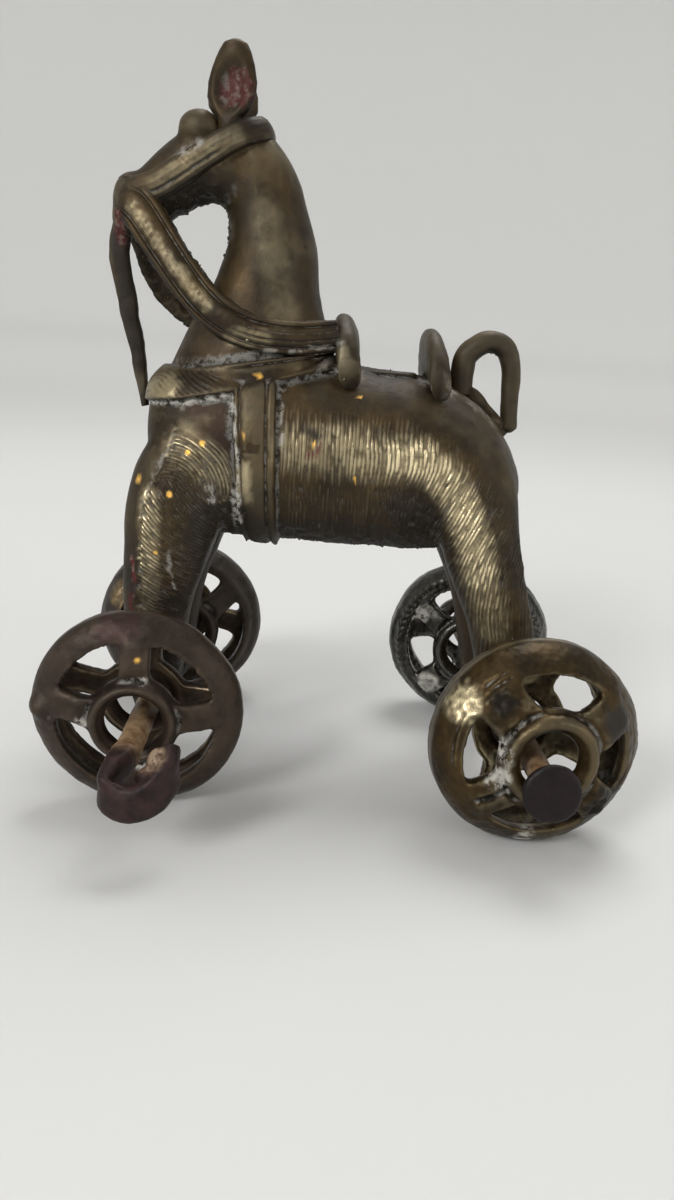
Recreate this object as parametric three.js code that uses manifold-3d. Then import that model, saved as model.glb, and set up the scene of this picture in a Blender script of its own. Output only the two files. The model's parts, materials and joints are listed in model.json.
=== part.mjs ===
// A cast bronze toy horse on four openwork wheels, after the village castings of India.
// The horse is one casting. Each wheel is a hollow cage that turns loosely on an iron nail.
// Millimetres, +Z up. The head points to -X, and the side with the bent nail end is -Y.
// The drawing frame has x = 0 half way between the axles and y = 0 in the middle of the horse.
// At the end everything is shifted so that the origin is the middle of the footprint.

import * as THREE from 'three';
import { mergeVertices } from 'three/addons/utils/BufferGeometryUtils.js';
import Module from 'manifold-3d';

const wasm = await Module();
wasm.setup();

// Driving dimensions
const WHEEL_RADIUS = 20;
const WHEEL_SIDES = 18;
const WALL = 2.6;
const BORE_RADIUS = 5.3;
const WINDOW_RADIUS = 15.2;
const NAIL_RADIUS = 2.4;
const NAIL_SIDES = 8;
const HEAD_RADIUS = 5;
const HEAD_THICKNESS = 1.9;
const GAP = 0.3;
const BARREL_SIDES = 16;
const NECK_SIDES = 10;
const LEG_SIDES = 10;
const STRAP_RISE = 1.2;
const RIB_RISE = 0.5;
const SEAT_HEIGHT = 85;

// Where the wheels stand. turn is the lean in plan and camber the lean of the near face upwards.
// bulge is how far the dome of each face would stand out at its middle, hub is the half length over
// the hub rings, and ring their outer radius. near and far list the spokes of each face: the clock
// angle in degrees, seen from the near side, and the half width.
const WHEELS = [
  {
    name: 'wheel_front_near', x: -37.9, y: -26.8, turn: 2, camber: -4, bulge: 6.6, hub: 7.2, ring: 8.3,
    near: [[0, 2.8], [85, 2.8], [182, 3], [279, 2.8]],
    far: [[6, 2.6], [85, 2.6], [178, 2.6], [288, 2.6]],
  },
  {
    name: 'wheel_rear_near', x: 37.3, y: -30, turn: 7, camber: 2, bulge: 11, hub: 10.9, ring: 9.2,
    near: [[-42, 4.4], [56, 4], [130, 3.6], [233, 3.6]],
    far: [[20, 2.6], [110, 2.6], [200, 2.6], [290, 2.6]],
  },
  {
    name: 'wheel_front_far', x: -39.6, y: 30, turn: 11, camber: 0, bulge: 11, hub: 10.4, ring: 8.5,
    near: [[50, 2.8], [140, 2.8], [230, 2.8], [320, 2.8]],
    far: [[10, 2.8], [100, 2.8], [190, 2.8], [280, 2.8]],
  },
  {
    name: 'wheel_rear_far', x: 33.4, y: 30, turn: -6, camber: 0, bulge: 11, hub: 10.4, ring: 8.5,
    near: [[-53, 2.7], [40, 2.8], [132, 2.8], [222, 3]],
    far: [[0, 2.8], [90, 2.8], [180, 2.8], [270, 2.8]],
  },
];

// The two nails, as the places where their middle line passes the wheels.
const AXLES = {
  front: { near: [-36.9, -30, 18.6], far: [-39.5, 30, 18.1] },
  rear: { near: [36.6, -30, 17.9], far: [34.2, 30, 18.0] },
};

const BRONZE = { color: 0x6b5a3a, roughness: 0.5, metalness: 0.9 };
const BROWN_BRONZE = { color: 0x5a4a3c, roughness: 0.5, metalness: 0.85 };
const GREY_BRONZE = { color: 0x6a6a60, roughness: 0.55, metalness: 0.85 };
const IRON = { color: 0x4a2f26, roughness: 0.6, metalness: 0.6 };

const vec = (x, y, z) => new THREE.Vector3(x, y, z);
const degrees = THREE.MathUtils.degToRad;

// Solids and meshes

function solidOf(geometry) {
  const plain = geometry.clone();
  plain.deleteAttribute('normal');
  plain.deleteAttribute('uv');
  const merged = mergeVertices(plain, 1e-4);
  const vertProperties = new Float32Array(merged.attributes.position.array);
  const triVerts = new Uint32Array(merged.index.array);
  return new wasm.Manifold(new wasm.Mesh({ numProp: 3, vertProperties, triVerts }));
}

function geometryOf(solid) {
  const mesh = solid.getMesh();
  const geometry = new THREE.BufferGeometry();
  geometry.setAttribute('position', new THREE.BufferAttribute(mesh.vertProperties, 3));
  geometry.setIndex(new THREE.BufferAttribute(mesh.triVerts, 1));
  return geometry;
}

function union(solids) {
  return solids.reduce((whole, next) => whole.add(next));
}

function signedVolume(points, index) {
  let sum = 0;
  for (let i = 0; i < index.length; i += 3) {
    const [a, b, c] = [points[index[i]], points[index[i + 1]], points[index[i + 2]]];
    sum += a.dot(b.clone().cross(c));
  }
  return sum / 6;
}

// A closed skin over a row of rings, each with the same number of points, with a fan at both ends.
function loft(rings) {
  const sides = rings[0].length;
  const points = rings.flat();
  const index = [];
  for (let r = 0; r + 1 < rings.length; r += 1) {
    for (let s = 0; s < sides; s += 1) {
      const a = r * sides + s;
      const b = r * sides + ((s + 1) % sides);
      index.push(a, b, a + sides, b, b + sides, a + sides);
    }
  }
  const ends = [[rings[0], 0, true], [rings.at(-1), points.length - sides, false]];
  for (const [ring, start, flip] of ends) {
    const middle = ring.reduce((sum, p) => sum.add(p), vec(0, 0, 0)).divideScalar(sides);
    const hub = points.push(middle) - 1;
    for (let s = 0; s < sides; s += 1) {
      const a = start + s;
      const b = start + ((s + 1) % sides);
      index.push(...(flip ? [b, a, hub] : [a, b, hub]));
    }
  }
  if (signedVolume(points, index) < 0) {
    index.reverse();
  }
  const geometry = new THREE.BufferGeometry().setFromPoints(points);
  geometry.setIndex(index);
  return solidOf(geometry);
}

// Points round an oval: power 2 is an ellipse, and more makes it squarer.
function oval(sides, power = 2) {
  const bend = (value) => Math.sign(value) * Math.abs(value) ** (2 / power);
  return Array.from({ length: sides }, (_, i) => {
    const angle = (2 * Math.PI * i) / sides;
    return [bend(Math.cos(angle)), bend(Math.sin(angle))];
  });
}

// A tube or band along a path. section gives [across, out] points at each step, where across
// runs along the band's width and out points away from the middle of the path's bend.
function sweep(path, sectionAt, acrossAt) {
  const rings = path.map((point, i) => {
    const ahead = path[Math.min(i + 1, path.length - 1)];
    const behind = path[Math.max(i - 1, 0)];
    const along = ahead.clone().sub(behind).normalize();
    const out = along.clone().cross(acrossAt(i)).normalize();
    const across = out.clone().cross(along).normalize();
    return sectionAt(i / (path.length - 1)).map(([a, o]) => (
      point.clone().addScaledVector(across, a).addScaledVector(out, o)
    ));
  });
  return loft(rings);
}

function curve(points, steps) {
  return new THREE.CatmullRomCurve3(points.map(([x, y, z]) => vec(x, y, z)), false, 'centripetal')
    .getPoints(steps);
}

// A side-view outline in x and z, carried right through the horse in y.
function slab(outline, nearY = -30, farY = 30) {
  const shape = new THREE.Shape(outline.map(([x, z]) => new THREE.Vector2(x, z)));
  const geometry = new THREE.ExtrudeGeometry(shape, { depth: farY - nearY, bevelEnabled: false });
  geometry.rotateX(Math.PI / 2);
  geometry.translate(0, farY, 0);
  return solidOf(geometry);
}

// The barrel, from the chest to the rump: x, lowest and highest point and half width.
const BARREL = [
  { x: -41, low: 65, high: 77, half: 6 },
  { x: -39.8, low: 60, high: 80.5, half: 10.5 },
  { x: -36.4, low: 54.5, high: 83.6, half: 14 },
  { x: -29, low: 51, high: 86, half: 16.2 },
  { x: -18, low: 50, high: 86.6, half: 17 },
  { x: 10, low: 49.7, high: 85, half: 17 },
  { x: 19, low: 50.2, high: 83, half: 16.6 },
  { x: 26, low: 52.6, high: 78.6, half: 15.4 },
  { x: 30.6, low: 56, high: 73.4, half: 12.6 },
  { x: 33.6, low: 59, high: 67.6, half: 7.5 },
];

function barrel(grow = 0) {
  const section = oval(BARREL_SIDES, 2.3);
  return loft(BARREL.map(({ x, low, high, half }, i) => {
    const end = i === 0 ? -grow : 0;
    const middle = (low + high) / 2;
    const reach = (high - low) / 2 + grow;
    return section.map(([c, s]) => vec(x + end, (half + grow) * c, middle + reach * s));
  }));
}

// The neck, level by level: height, throat, crest and half width.
const NECK = [
  { z: 76, throat: -39.6, crest: -4, half: 13.6 },
  { z: 83, throat: -37.4, crest: -5, half: 12.8 },
  { z: 91, throat: -33.8, crest: -6.6, half: 11 },
  { z: 99, throat: -29.6, crest: -8.6, half: 9 },
  { z: 107, throat: -27, crest: -9.8, half: 7.8 },
  { z: 113, throat: -27.4, crest: -11.8, half: 7.2 },
  { z: 118, throat: -29.5, crest: -13.4, half: 7 },
  { z: 122.5, throat: -29.5, crest: -15.8, half: 6.6 },
  { z: 126.5, throat: -28, crest: -19.4, half: 5 },
];

function neck(grow = 0) {
  const section = oval(NECK_SIDES, 2.1);
  return loft(NECK.map(({ z, throat, crest, half }) => {
    const middle = (throat + crest) / 2;
    const reach = (crest - throat) / 2 + grow;
    return section.map(([c, s]) => vec(middle + reach * c, (half + grow) * s, z));
  }));
}

// The head, along its own line from the poll to the mouth: distance, depth above and below.
const POLL = vec(-20, 0, 123);
const HEAD_SLOPE = degrees(20.9);
const HEAD = [
  { along: -2, above: 2.5, below: 6, half: 5 },
  { along: 4, above: 5.2, below: 8, half: 6.6 },
  { along: 9, above: 6.6, below: 6.6, half: 6.8 },
  { along: 14, above: 7.8, below: 4.6, half: 6.2 },
  { along: 19, above: 6.6, below: 5.4, half: 5.2 },
  { along: 24, above: 4.6, below: 5.2, half: 4.6 },
  { along: 28.6, above: 3.6, below: 4.2, half: 4 },
  { along: 30.6, above: 1.6, below: 2.6, half: 2.4 },
];

function headPoint(along, up, y) {
  return vec(
    POLL.x - along * Math.cos(HEAD_SLOPE) - up * Math.sin(HEAD_SLOPE),
    y,
    POLL.z - along * Math.sin(HEAD_SLOPE) + up * Math.cos(HEAD_SLOPE),
  );
}

function head() {
  const section = oval(NECK_SIDES, 2.2);
  return loft(HEAD.map(({ along, above, below, half }) => {
    const middle = (above - below) / 2;
    const reach = (above + below) / 2;
    return section.map(([c, s]) => headPoint(along, middle + reach * s, half * c));
  }));
}

function brows() {
  return [-1, 1].map((side) => {
    const bump = new THREE.SphereGeometry(3.2, 6, 5);
    const place = headPoint(10.9, 7.9, side * 2.8);
    return solidOf(bump.scale(1.15, 1, 1.05).translate(place.x, place.y, place.z));
  });
}

// An ear is an upright leaf with its inside hollowed.
const EAR_HEIGHT = 15.7;
const EAR_WIDTH = 10;
const EAR_DEPTH = 3.4;
const EAR_SPLAY = 14;

function leaf(scale) {
  const width = (EAR_WIDTH / 2) * scale;
  const tip = EAR_HEIGHT * (0.42 + 0.58 * scale);
  const foot = EAR_HEIGHT * 0.42 * (1 - scale);
  const shape = new THREE.Shape();
  shape.moveTo(-1.4 * scale, foot);
  shape.lineTo(1.4 * scale, foot);
  shape.bezierCurveTo(width * 1.3, foot + 2, width * 1.3, tip * 0.62, 1.5 * scale, tip - 0.9);
  shape.lineTo(0, tip);
  shape.lineTo(-1.5 * scale, tip - 0.9);
  shape.bezierCurveTo(-width * 1.3, tip * 0.62, -width * 1.3, foot + 2, -1.4 * scale, foot);
  return shape;
}

function ear(side) {
  const plate = { depth: EAR_DEPTH, bevelEnabled: false, curveSegments: 3 };
  const outer = new THREE.ExtrudeGeometry(leaf(1), plate);
  const inner = new THREE.ExtrudeGeometry(leaf(0.62), plate);
  inner.translate(0, 0, EAR_DEPTH / 2);
  const place = (geometry) => geometry
    .rotateX(Math.PI / 2)
    .rotateY(degrees(3))
    .rotateZ(degrees(side < 0 ? -EAR_SPLAY : 180 + EAR_SPLAY))
    .translate(-26.2, side * 2.6, 124.6);
  return solidOf(place(outer)).subtract(solidOf(place(inner)));
}

// The legs, level by level: front and back edge, inner and outer side.
const FORELEG = [
  { z: 70, front: -39.6, back: -22, inner: 2.5, outer: 15.4 },
  { z: 64, front: -42.4, back: -22.6, inner: 2.8, outer: 16.6 },
  { z: 57, front: -44, back: -24, inner: 3.4, outer: 17.2 },
  { z: 50, front: -44.2, back: -26.4, inner: 4, outer: 17.4 },
  { z: 43, front: -44.4, back: -28.8, inner: 4.6, outer: 17.4 },
  { z: 35, front: -44.2, back: -31.2, inner: 5.4, outer: 17.2 },
  { z: 22, front: -43.4, back: -32.6, inner: 6, outer: 17 },
  { z: 12.8, front: -41.6, back: -34.2, inner: 7, outer: 16 },
];
const HIND_LEG = [
  { z: 72, front: 14, back: 29.6, inner: 3, outer: 14.4 },
  { z: 65, front: 15, back: 32.4, inner: 2.8, outer: 16.2 },
  { z: 57, front: 17, back: 33.8, inner: 3, outer: 17.2 },
  { z: 50, front: 19.4, back: 35.2, inner: 4, outer: 17.4 },
  { z: 43, front: 22.7, back: 37, inner: 4.6, outer: 17.4 },
  { z: 35, front: 26.2, back: 39.3, inner: 5.4, outer: 17.2 },
  { z: 22, front: 29.4, back: 41, inner: 6, outer: 17 },
  { z: 12.8, front: 31.4, back: 39.6, inner: 7, outer: 16 },
];
const ANKLE = 45;

// A foot stands over its own nail, so the lower leg leans by the nail's slant in plan.
function leg(stations, side, shift) {
  const section = oval(LEG_SIDES, 2.6);
  return loft(stations.map(({ z, front, back, inner, outer }) => {
    const lean = shift * THREE.MathUtils.clamp((ANKLE - z) / (ANKLE - 20), 0, 1);
    const middle = (front + back) / 2 + lean;
    const reach = (back - front) / 2;
    const out = (inner + outer) / 2;
    const half = (outer - inner) / 2;
    return section.map(([c, s]) => vec(middle + reach * c, side * (out + half * s), z));
  }));
}

// Nails

function alongNail({ near, far }, y) {
  const share = (y - near[1]) / (far[1] - near[1]);
  return near.map((value, i) => value + (far[i] - value) * share);
}

function nailTube(points, steps, radius, tip = 1) {
  const section = oval(NAIL_SIDES);
  const path = curve(points, steps);
  return sweep(
    path,
    (t) => section.map(([a, o]) => {
      const size = radius * (1 - (1 - tip) * t);
      return [a * size, o * size];
    }),
    () => vec(0, 0, 1),
  );
}

function nailHead(axle, y, side) {
  const geometry = new THREE.CylinderGeometry(HEAD_RADIUS, HEAD_RADIUS * 0.94, HEAD_THICKNESS, 12);
  const [nx, , nz] = alongNail(axle, y);
  geometry.rotateZ(side < 0 ? Math.PI : 0);
  geometry.translate(nx, y + (side * HEAD_THICKNESS) / 2, nz);
  return solidOf(geometry);
}

function straightShank(axle, fromY, toY, radius = NAIL_RADIUS) {
  return nailTube([alongNail(axle, fromY), alongNail(axle, toY)], 1, radius);
}

// The front nail's near end is beaten flat and turned back on itself in a hook.
function frontHook(axle) {
  const [x, y, z] = alongNail(axle, -44);
  const path = curve([
    [x, y, z],
    [x - 0.4, y - 4.2, z - 1.6],
    [x + 0.6, y - 7.6, z - 4],
    [x + 4.2, y - 8.6, z - 5],
    [x + 8, y - 6.6, z - 3],
    [x + 9.6, y - 3, z + 0.4],
    [x + 9.2, y - 0.6, z + 3.6],
  ], 10);
  const round = oval(NAIL_SIDES);
  const flat = oval(NAIL_SIDES, 3);
  return sweep(
    path,
    (t) => {
      const beaten = THREE.MathUtils.smoothstep(t, 0.05, 0.4);
      return round.map(([a, o], i) => [
        THREE.MathUtils.lerp(a * NAIL_RADIUS, flat[i][0] * 2.9, beaten),
        THREE.MathUtils.lerp(o * NAIL_RADIUS, flat[i][1] * 1.6, beaten),
      ]);
    },
    () => vec(0, 0, 1),
  );
}

function frontAxle() {
  const axle = AXLES.front;
  return union([
    straightShank(axle, -44.4, 46),
    frontHook(axle),
    nailHead(axle, 45.6, 1),
  ]);
}

// The rear nail's far end is bent upwards so that it can't slide out.
function rearAxle() {
  const axle = AXLES.rear;
  const [x, y, z] = alongNail(axle, 42.5);
  const bent = [[x, y, z], [x, y + 2.6, z + 0.8], [x + 0.4, y + 4.4, z + 4], [x + 0.6, y + 4.6, z + 7]];
  return union([
    straightShank(axle, -46.4, 43),
    nailHead(axle, -46.2, -1),
    nailTube(bent, 7, NAIL_RADIUS, 0.8),
  ]);
}

// Harness: each strap is the grown body cut to the strap's outline in the side view.
const BREAST_STRAP = [
  [-50, 83], [-33, 82.9], [-5, 88.2], [-5, 84.4], [-23.5, 79.2], [-33, 77.2], [-50, 75.4],
];
const GIRTH = [[-23.3, 80], [-15.3, 81], [-13.8, 45], [-20.6, 45]];
const GIRTH_RIB = [[-21.1, 80], [-17.4, 81], [-15.7, 45], [-18.7, 45]];

function harness() {
  const wide = barrel(STRAP_RISE).add(neck(STRAP_RISE));
  const ribbed = barrel(STRAP_RISE + RIB_RISE);
  return [
    wide.intersect(slab(BREAST_STRAP)),
    wide.intersect(slab(GIRTH)),
    ribbed.intersect(slab(GIRTH_RIB)),
  ];
}

// A rein is a broad band with a raised middle rib.
const NEAR_REIN = [
  [-47.2, 0, 113.4], [-45.4, -4.2, 113], [-42.3, -6.4, 110.4], [-38.4, -7.6, 105.3],
  [-34.5, -9, 100.4], [-30.4, -10.4, 95.9], [-25.9, -11.4, 92.6], [-20, -11.8, 90.4],
  [-12, -11.2, 90], [-4.6, -9.6, 91],
];
const FAR_REIN = [
  [-47.2, 0, 113.4], [-46.2, 4.2, 111.6], [-44.4, 6.4, 107.8], [-41.8, 7.4, 102.8],
  [-39.2, 8.4, 98.2], [-35.2, 9.6, 94.6], [-29, 10.8, 91.8], [-20, 11.8, 90.2],
  [-12, 11.2, 90], [-4.6, 9.6, 91],
];

function rein(points, side) {
  const path = curve(points, 9);
  return sweep(
    path,
    (t) => {
      const half = THREE.MathUtils.lerp(3.9, 2.9, t);
      const rib = half * 0.45;
      const section = [[-half, -1.3], [half, -1.3], [half, 0.8], [rib, 1.7], [-rib, 1.7], [-half, 0.8]];
      return section.map(([a, o]) => [a, -side * o]);
    },
    (i) => {
      const along = path[Math.min(i + 1, path.length - 1)].clone().sub(path[Math.max(i - 1, 0)]);
      return i === 0 ? vec(0, 0, 1) : vec(-along.z, 0, along.x).normalize();
    },
  );
}

// The headstall goes from the muzzle up one cheek, over the poll and down the other.
function headstall() {
  const cheek = [
    [-44.6, 4.6, 113.6], [-38.6, 5.9, 116], [-31.4, 7, 120.4], [-25.4, 7, 124.2], [-21.4, 4.6, 126],
  ];
  const mirrored = cheek.map(([x, y, z]) => [x, -y, z]).reverse();
  const path = curve([...cheek, [-20.4, 0, 126.6], ...mirrored], 8);
  const section = [[-2.4, -1.2], [2.4, -1.2], [2.4, 0.6], [1, 1.2], [-1, 1.2], [-2.4, 0.6]];
  return sweep(path, () => section, () => vec(-0.5, 0, 0.87));
}

// The tapered strap that hangs from the mouth.
function hangingStrap() {
  const path = curve([
    [-46.6, 0, 111.6], [-48, 0, 104.4], [-46.2, 0, 94], [-44.4, 0, 86], [-42.7, 0, 75],
  ], 6);
  return sweep(
    path,
    (t) => {
      const half = THREE.MathUtils.lerp(1.9, 0.6, t ** 3);
      return [[-half, -1.3], [half, -1.3], [half, 1.3], [-half, 1.3]];
    },
    () => vec(1, 0, 0),
  );
}

// Pommel and cantle are round-edged crescents that stand across the back.
function saddleArch({ foot, top, halfWidth, thick }) {
  const steps = 7;
  const section = oval(6, 2.4);
  const lean = vec(top[0] - foot[0], 0, top[1] - foot[1]);
  return loft(Array.from({ length: steps + 1 }, (_, i) => {
    const angle = THREE.MathUtils.lerp(0.08, 0.92, i / steps) * Math.PI;
    const rise = Math.sin(angle) ** 0.7;
    const half = (thick / 2) * (0.75 + 0.25 * rise);
    const depth = 1.5 + 4 * rise;
    const y = -Math.cos(angle) * (halfWidth - 1.4);
    const middle = vec(foot[0], y, foot[1]).addScaledVector(lean, rise - depth / lean.length());
    const up = lean.clone().normalize();
    return section.map(([c, s]) => (
      middle.clone().add(vec(half * c, 0, 0)).addScaledVector(up, depth * s)
    ));
  }));
}

const POMMEL = { foot: [-1.6, 82.5], top: [-3.6, 95.4], halfWidth: 15, thick: 5 };
const CANTLE = { foot: [15.6, 82], top: [13.8, 93.8], halfWidth: 15, thick: 4.4 };

// The tail rises from the croup, arches over and hangs down behind.
function tail() {
  return nailTube([
    [20.8, 0, 81.5], [21, 0, 86], [21.6, 0, 89.2], [25.2, 0, 91.9], [28.8, 0, 91], [30.6, 0, 87.4],
    [31, 0, 81.5], [31.6, 0, 74.6],
  ], 9, 2.5, 0.66);
}

function croupStrap() {
  const path = curve([[14, 0, 84], [20, 0, 82.9], [26, 0, 78.7], [31, 0, 73.2]], 4);
  return sweep(path, () => [[-1.4, -1.6], [1.4, -1.6], [1, 1.4], [-1, 1.4]], () => vec(0, 1, 0));
}

// Between the arches the back is left flat, as a seat, from one x to the other.
const SEAT = [1.6, 11];

function seatCut() {
  const [front, back] = SEAT;
  const above = SEAT_HEIGHT + 5;
  return slab([[front, SEAT_HEIGHT], [back, SEAT_HEIGHT], [back, above], [front, above]], -12, 12);
}

function seatPad() {
  const pad = new THREE.BoxGeometry(11, 13, 4);
  return solidOf(pad.translate(6.4, 0, SEAT_HEIGHT - 2));
}

function horse() {
  const legs = [-1, 1].flatMap((side) => [
    leg(FORELEG, side, alongNail(AXLES.front, side * 12)[0] + 37.9),
    leg(HIND_LEG, side, alongNail(AXLES.rear, side * 12)[0] - 35.9),
  ]);
  const body = union([barrel(), neck(), head(), ...legs, seatPad()]).subtract(seatCut());
  const whole = union([
    body, ...brows(), ear(-1), ear(1), ...harness(), rein(NEAR_REIN, -1), rein(FAR_REIN, 1),
    headstall(), hangingStrap(), saddleArch(POMMEL), saddleArch(CANTLE), tail(), croupStrap(),
  ]);
  const holes = Object.values(AXLES).map((axle) => straightShank(axle, -25, 25, NAIL_RADIUS + GAP));
  return whole.subtract(union(holes));
}

// Wheels: a domed shell turned about its own axle line, with four windows on each face.

function wheelProfile({ bulge, hub, ring }) {
  const dome = (radius, size, reach) => reach * Math.sqrt(1 - (radius / size) ** 2);
  const outside = [13.6, 17.6].map((r) => [r, dome(r, WHEEL_RADIUS, bulge)]);
  const insideRadius = WHEEL_RADIUS - WALL;
  const half = [
    [13.4, dome(13.4, insideRadius, bulge - WALL)],
    [BORE_RADIUS, hub - 3],
    [BORE_RADIUS + 0.7, hub],
    [ring - 0.8, hub],
    [ring, hub - 1.4],
    ...outside,
    [WHEEL_RADIUS, 1.4],
  ];
  const mirrored = half.map(([r, w]) => [r, -w]).reverse();
  const whole = [[insideRadius, 0], ...half, ...mirrored, [insideRadius, 0]];
  return whole.reverse().map(([r, w]) => new THREE.Vector2(r, w));
}

// A window between two spokes, straight along the spokes and round at the rim.
function windowShape([from, fromHalf], [to, toHalf], inner) {
  const start = (radius) => degrees(from) + Math.asin(fromHalf / radius);
  const end = (radius) => degrees(to) - Math.asin(toHalf / radius);
  const point = (radius, angle) => new THREE.Vector2(radius * Math.sin(angle), radius * Math.cos(angle));
  const arc = (radius, steps, trim) => Array.from({ length: steps + 1 }, (_, i) => point(
    radius,
    THREE.MathUtils.lerp(start(radius) + trim, end(radius) - trim, i / steps),
  ));
  const corner = WINDOW_RADIUS - 2;
  return new THREE.Shape([
    ...arc(inner, 1, 0).reverse(),
    point(corner, start(corner)),
    ...arc(WINDOW_RADIUS, 2, 0.12),
    point(corner, end(corner)),
  ]);
}

function wheelWindows(spokes, face, { hub, ring }) {
  return spokes.map((spoke, i) => {
    const [angle, half] = spokes[(i + 1) % spokes.length];
    const next = [i + 1 < spokes.length ? angle : angle + 360, half];
    const shape = windowShape(spoke, next, ring + 0.6);
    const geometry = new THREE.ExtrudeGeometry(shape, { depth: hub, bevelEnabled: false });
    geometry.rotateX(Math.PI / 2);
    geometry.translate(0, face < 0 ? -1.6 : 1.6 + hub, 0);
    return solidOf(geometry);
  });
}

// The rim is drawn a little large so that its flat facets, not its corners, have the true radius.
function wheel(place) {
  const shell = new THREE.LatheGeometry(wheelProfile(place), WHEEL_SIDES, Math.PI / WHEEL_SIDES);
  const stretch = 1 / Math.cos(Math.PI / WHEEL_SIDES);
  shell.scale(stretch, 1, stretch);
  const windows = [...wheelWindows(place.near, -1, place), ...wheelWindows(place.far, 1, place)];
  return solidOf(shell).subtract(union(windows));
}

// The figure is put together

const figure = new THREE.Group();

function addMesh(name, solid, finish) {
  const mesh = new THREE.Mesh(geometryOf(solid), new THREE.MeshStandardMaterial(finish));
  mesh.name = name;
  figure.add(mesh);
  return mesh;
}

addMesh('horse', horse(), BRONZE);
addMesh('axle_front', frontAxle(), IRON);
addMesh('axle_rear', rearAxle(), IRON);

const WHEEL_FINISH = {
  wheel_front_near: BROWN_BRONZE,
  wheel_front_far: BROWN_BRONZE,
  wheel_rear_near: BRONZE,
  wheel_rear_far: GREY_BRONZE,
};
for (const place of WHEELS) {
  const mesh = addMesh(place.name, wheel(place), WHEEL_FINISH[place.name]);
  mesh.rotation.set(degrees(-place.camber), 0, degrees(place.turn), 'ZXY');
  mesh.position.set(place.x, place.y, 0);
  mesh.updateMatrixWorld();
  mesh.position.z = -new THREE.Box3().setFromObject(mesh, true).min.z;
}

figure.updateMatrixWorld();
const footprint = new THREE.Box3().setFromObject(figure, true);
const middle = footprint.getCenter(vec(0, 0, 0));
figure.position.set(-middle.x, -middle.y, -footprint.min.z);

export default figure;
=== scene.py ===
"""A cast bronze toy horse on four openwork wheels, dressed for a studio picture.

The horse is one casting. It is pushed out of plain lofts into one fine skin, and then worked the
way its maker worked the wax: straps are laid on, the coat is drawn with a point, and the casting's
own roughness is left where nobody cleaned it.
Shapes are worked out in millimetres in the horse's own drawing frame, where x = 0 is half way
between the axles and y = 0 is the horse's middle plane. The head points to -X and the near side
is -Y.
"""

import json
import math

import bpy
import numpy as np
from mathutils import Matrix, Vector


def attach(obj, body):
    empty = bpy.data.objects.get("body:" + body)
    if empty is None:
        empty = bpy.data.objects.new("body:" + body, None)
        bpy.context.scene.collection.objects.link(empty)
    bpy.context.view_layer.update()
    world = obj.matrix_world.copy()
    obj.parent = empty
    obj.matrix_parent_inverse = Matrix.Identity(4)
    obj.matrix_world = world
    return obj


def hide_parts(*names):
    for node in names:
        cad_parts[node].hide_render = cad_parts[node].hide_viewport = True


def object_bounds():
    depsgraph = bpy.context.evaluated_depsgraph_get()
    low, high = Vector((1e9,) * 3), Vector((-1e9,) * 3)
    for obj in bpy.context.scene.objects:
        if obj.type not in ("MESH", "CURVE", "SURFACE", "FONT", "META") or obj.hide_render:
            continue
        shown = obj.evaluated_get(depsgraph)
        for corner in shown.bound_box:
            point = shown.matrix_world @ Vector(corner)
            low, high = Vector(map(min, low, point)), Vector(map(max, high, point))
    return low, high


bl_info = {
    "name": "Bronze toy horse",
    "version": (1, 0, 0),
    "blender": (4, 5, 0),
    "location": "3D View > Sidebar > Toy horse",
    "description": "Builds a cast bronze toy horse with its openwork wheels and iron nails",
    "category": "Object",
}

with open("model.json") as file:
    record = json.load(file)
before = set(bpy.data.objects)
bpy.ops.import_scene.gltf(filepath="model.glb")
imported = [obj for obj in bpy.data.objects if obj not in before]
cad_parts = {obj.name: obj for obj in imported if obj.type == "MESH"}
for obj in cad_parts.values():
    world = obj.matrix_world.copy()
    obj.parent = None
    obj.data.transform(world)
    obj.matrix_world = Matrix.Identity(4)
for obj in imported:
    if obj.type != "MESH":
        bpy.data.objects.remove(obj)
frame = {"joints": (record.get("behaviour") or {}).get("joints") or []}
CAD_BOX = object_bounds()

MM = 0.001
HORSE_MIDDLE = np.array([1.0874, 2.5845, 0.0])
WHEEL_SEATS = {joint["child"]: joint for joint in frame["joints"]}


# Numbers

def smoothstep(low, high, value):
    t = np.clip((value - low) / (high - low), 0, 1)
    return t * t * (3 - 2 * t)


def plateau(value, low, high, edge):
    """1 between low and high, falling to 0 over edge outside them."""
    return smoothstep(low - edge, low, value) * (1 - smoothstep(high, high + edge, value))


def lumps(points, size, seed=0):
    """Smooth lattice noise from -1 to 1, with lumps about size millimetres across."""
    cell = points / size
    base = np.floor(cell).astype(np.int64)
    share = cell - base
    share = share * share * (3 - 2 * share)
    total = np.zeros(len(points))
    for corner in np.ndindex(2, 2, 2):
        where = base + corner
        mixed = where[:, 0] * 374761393 + where[:, 1] * 668265263 + where[:, 2] * 1442695041
        mixed = (mixed + seed * 97911) & 0x7FFFFFFF
        mixed = ((mixed ^ (mixed >> 13)) * 1274126177) & 0x7FFFFFFF
        value = ((mixed ^ (mixed >> 16)) & 0xFFFF) / 32767.5 - 1
        weight = np.prod(np.where(corner, share, 1 - share), axis=1)
        total += weight * value
    return total


def layered(points, layers, start=0.0):
    """Lumps of several sizes laid over each other, as rows of height, size and seed."""
    return sum((height * lumps(points, size, seed) for height, size, seed in layers), start)


def waves(place, pitch=1.0):
    """From -1 to 1 and back in each pitch."""
    return np.cos(2 * np.pi * place / pitch)


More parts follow.
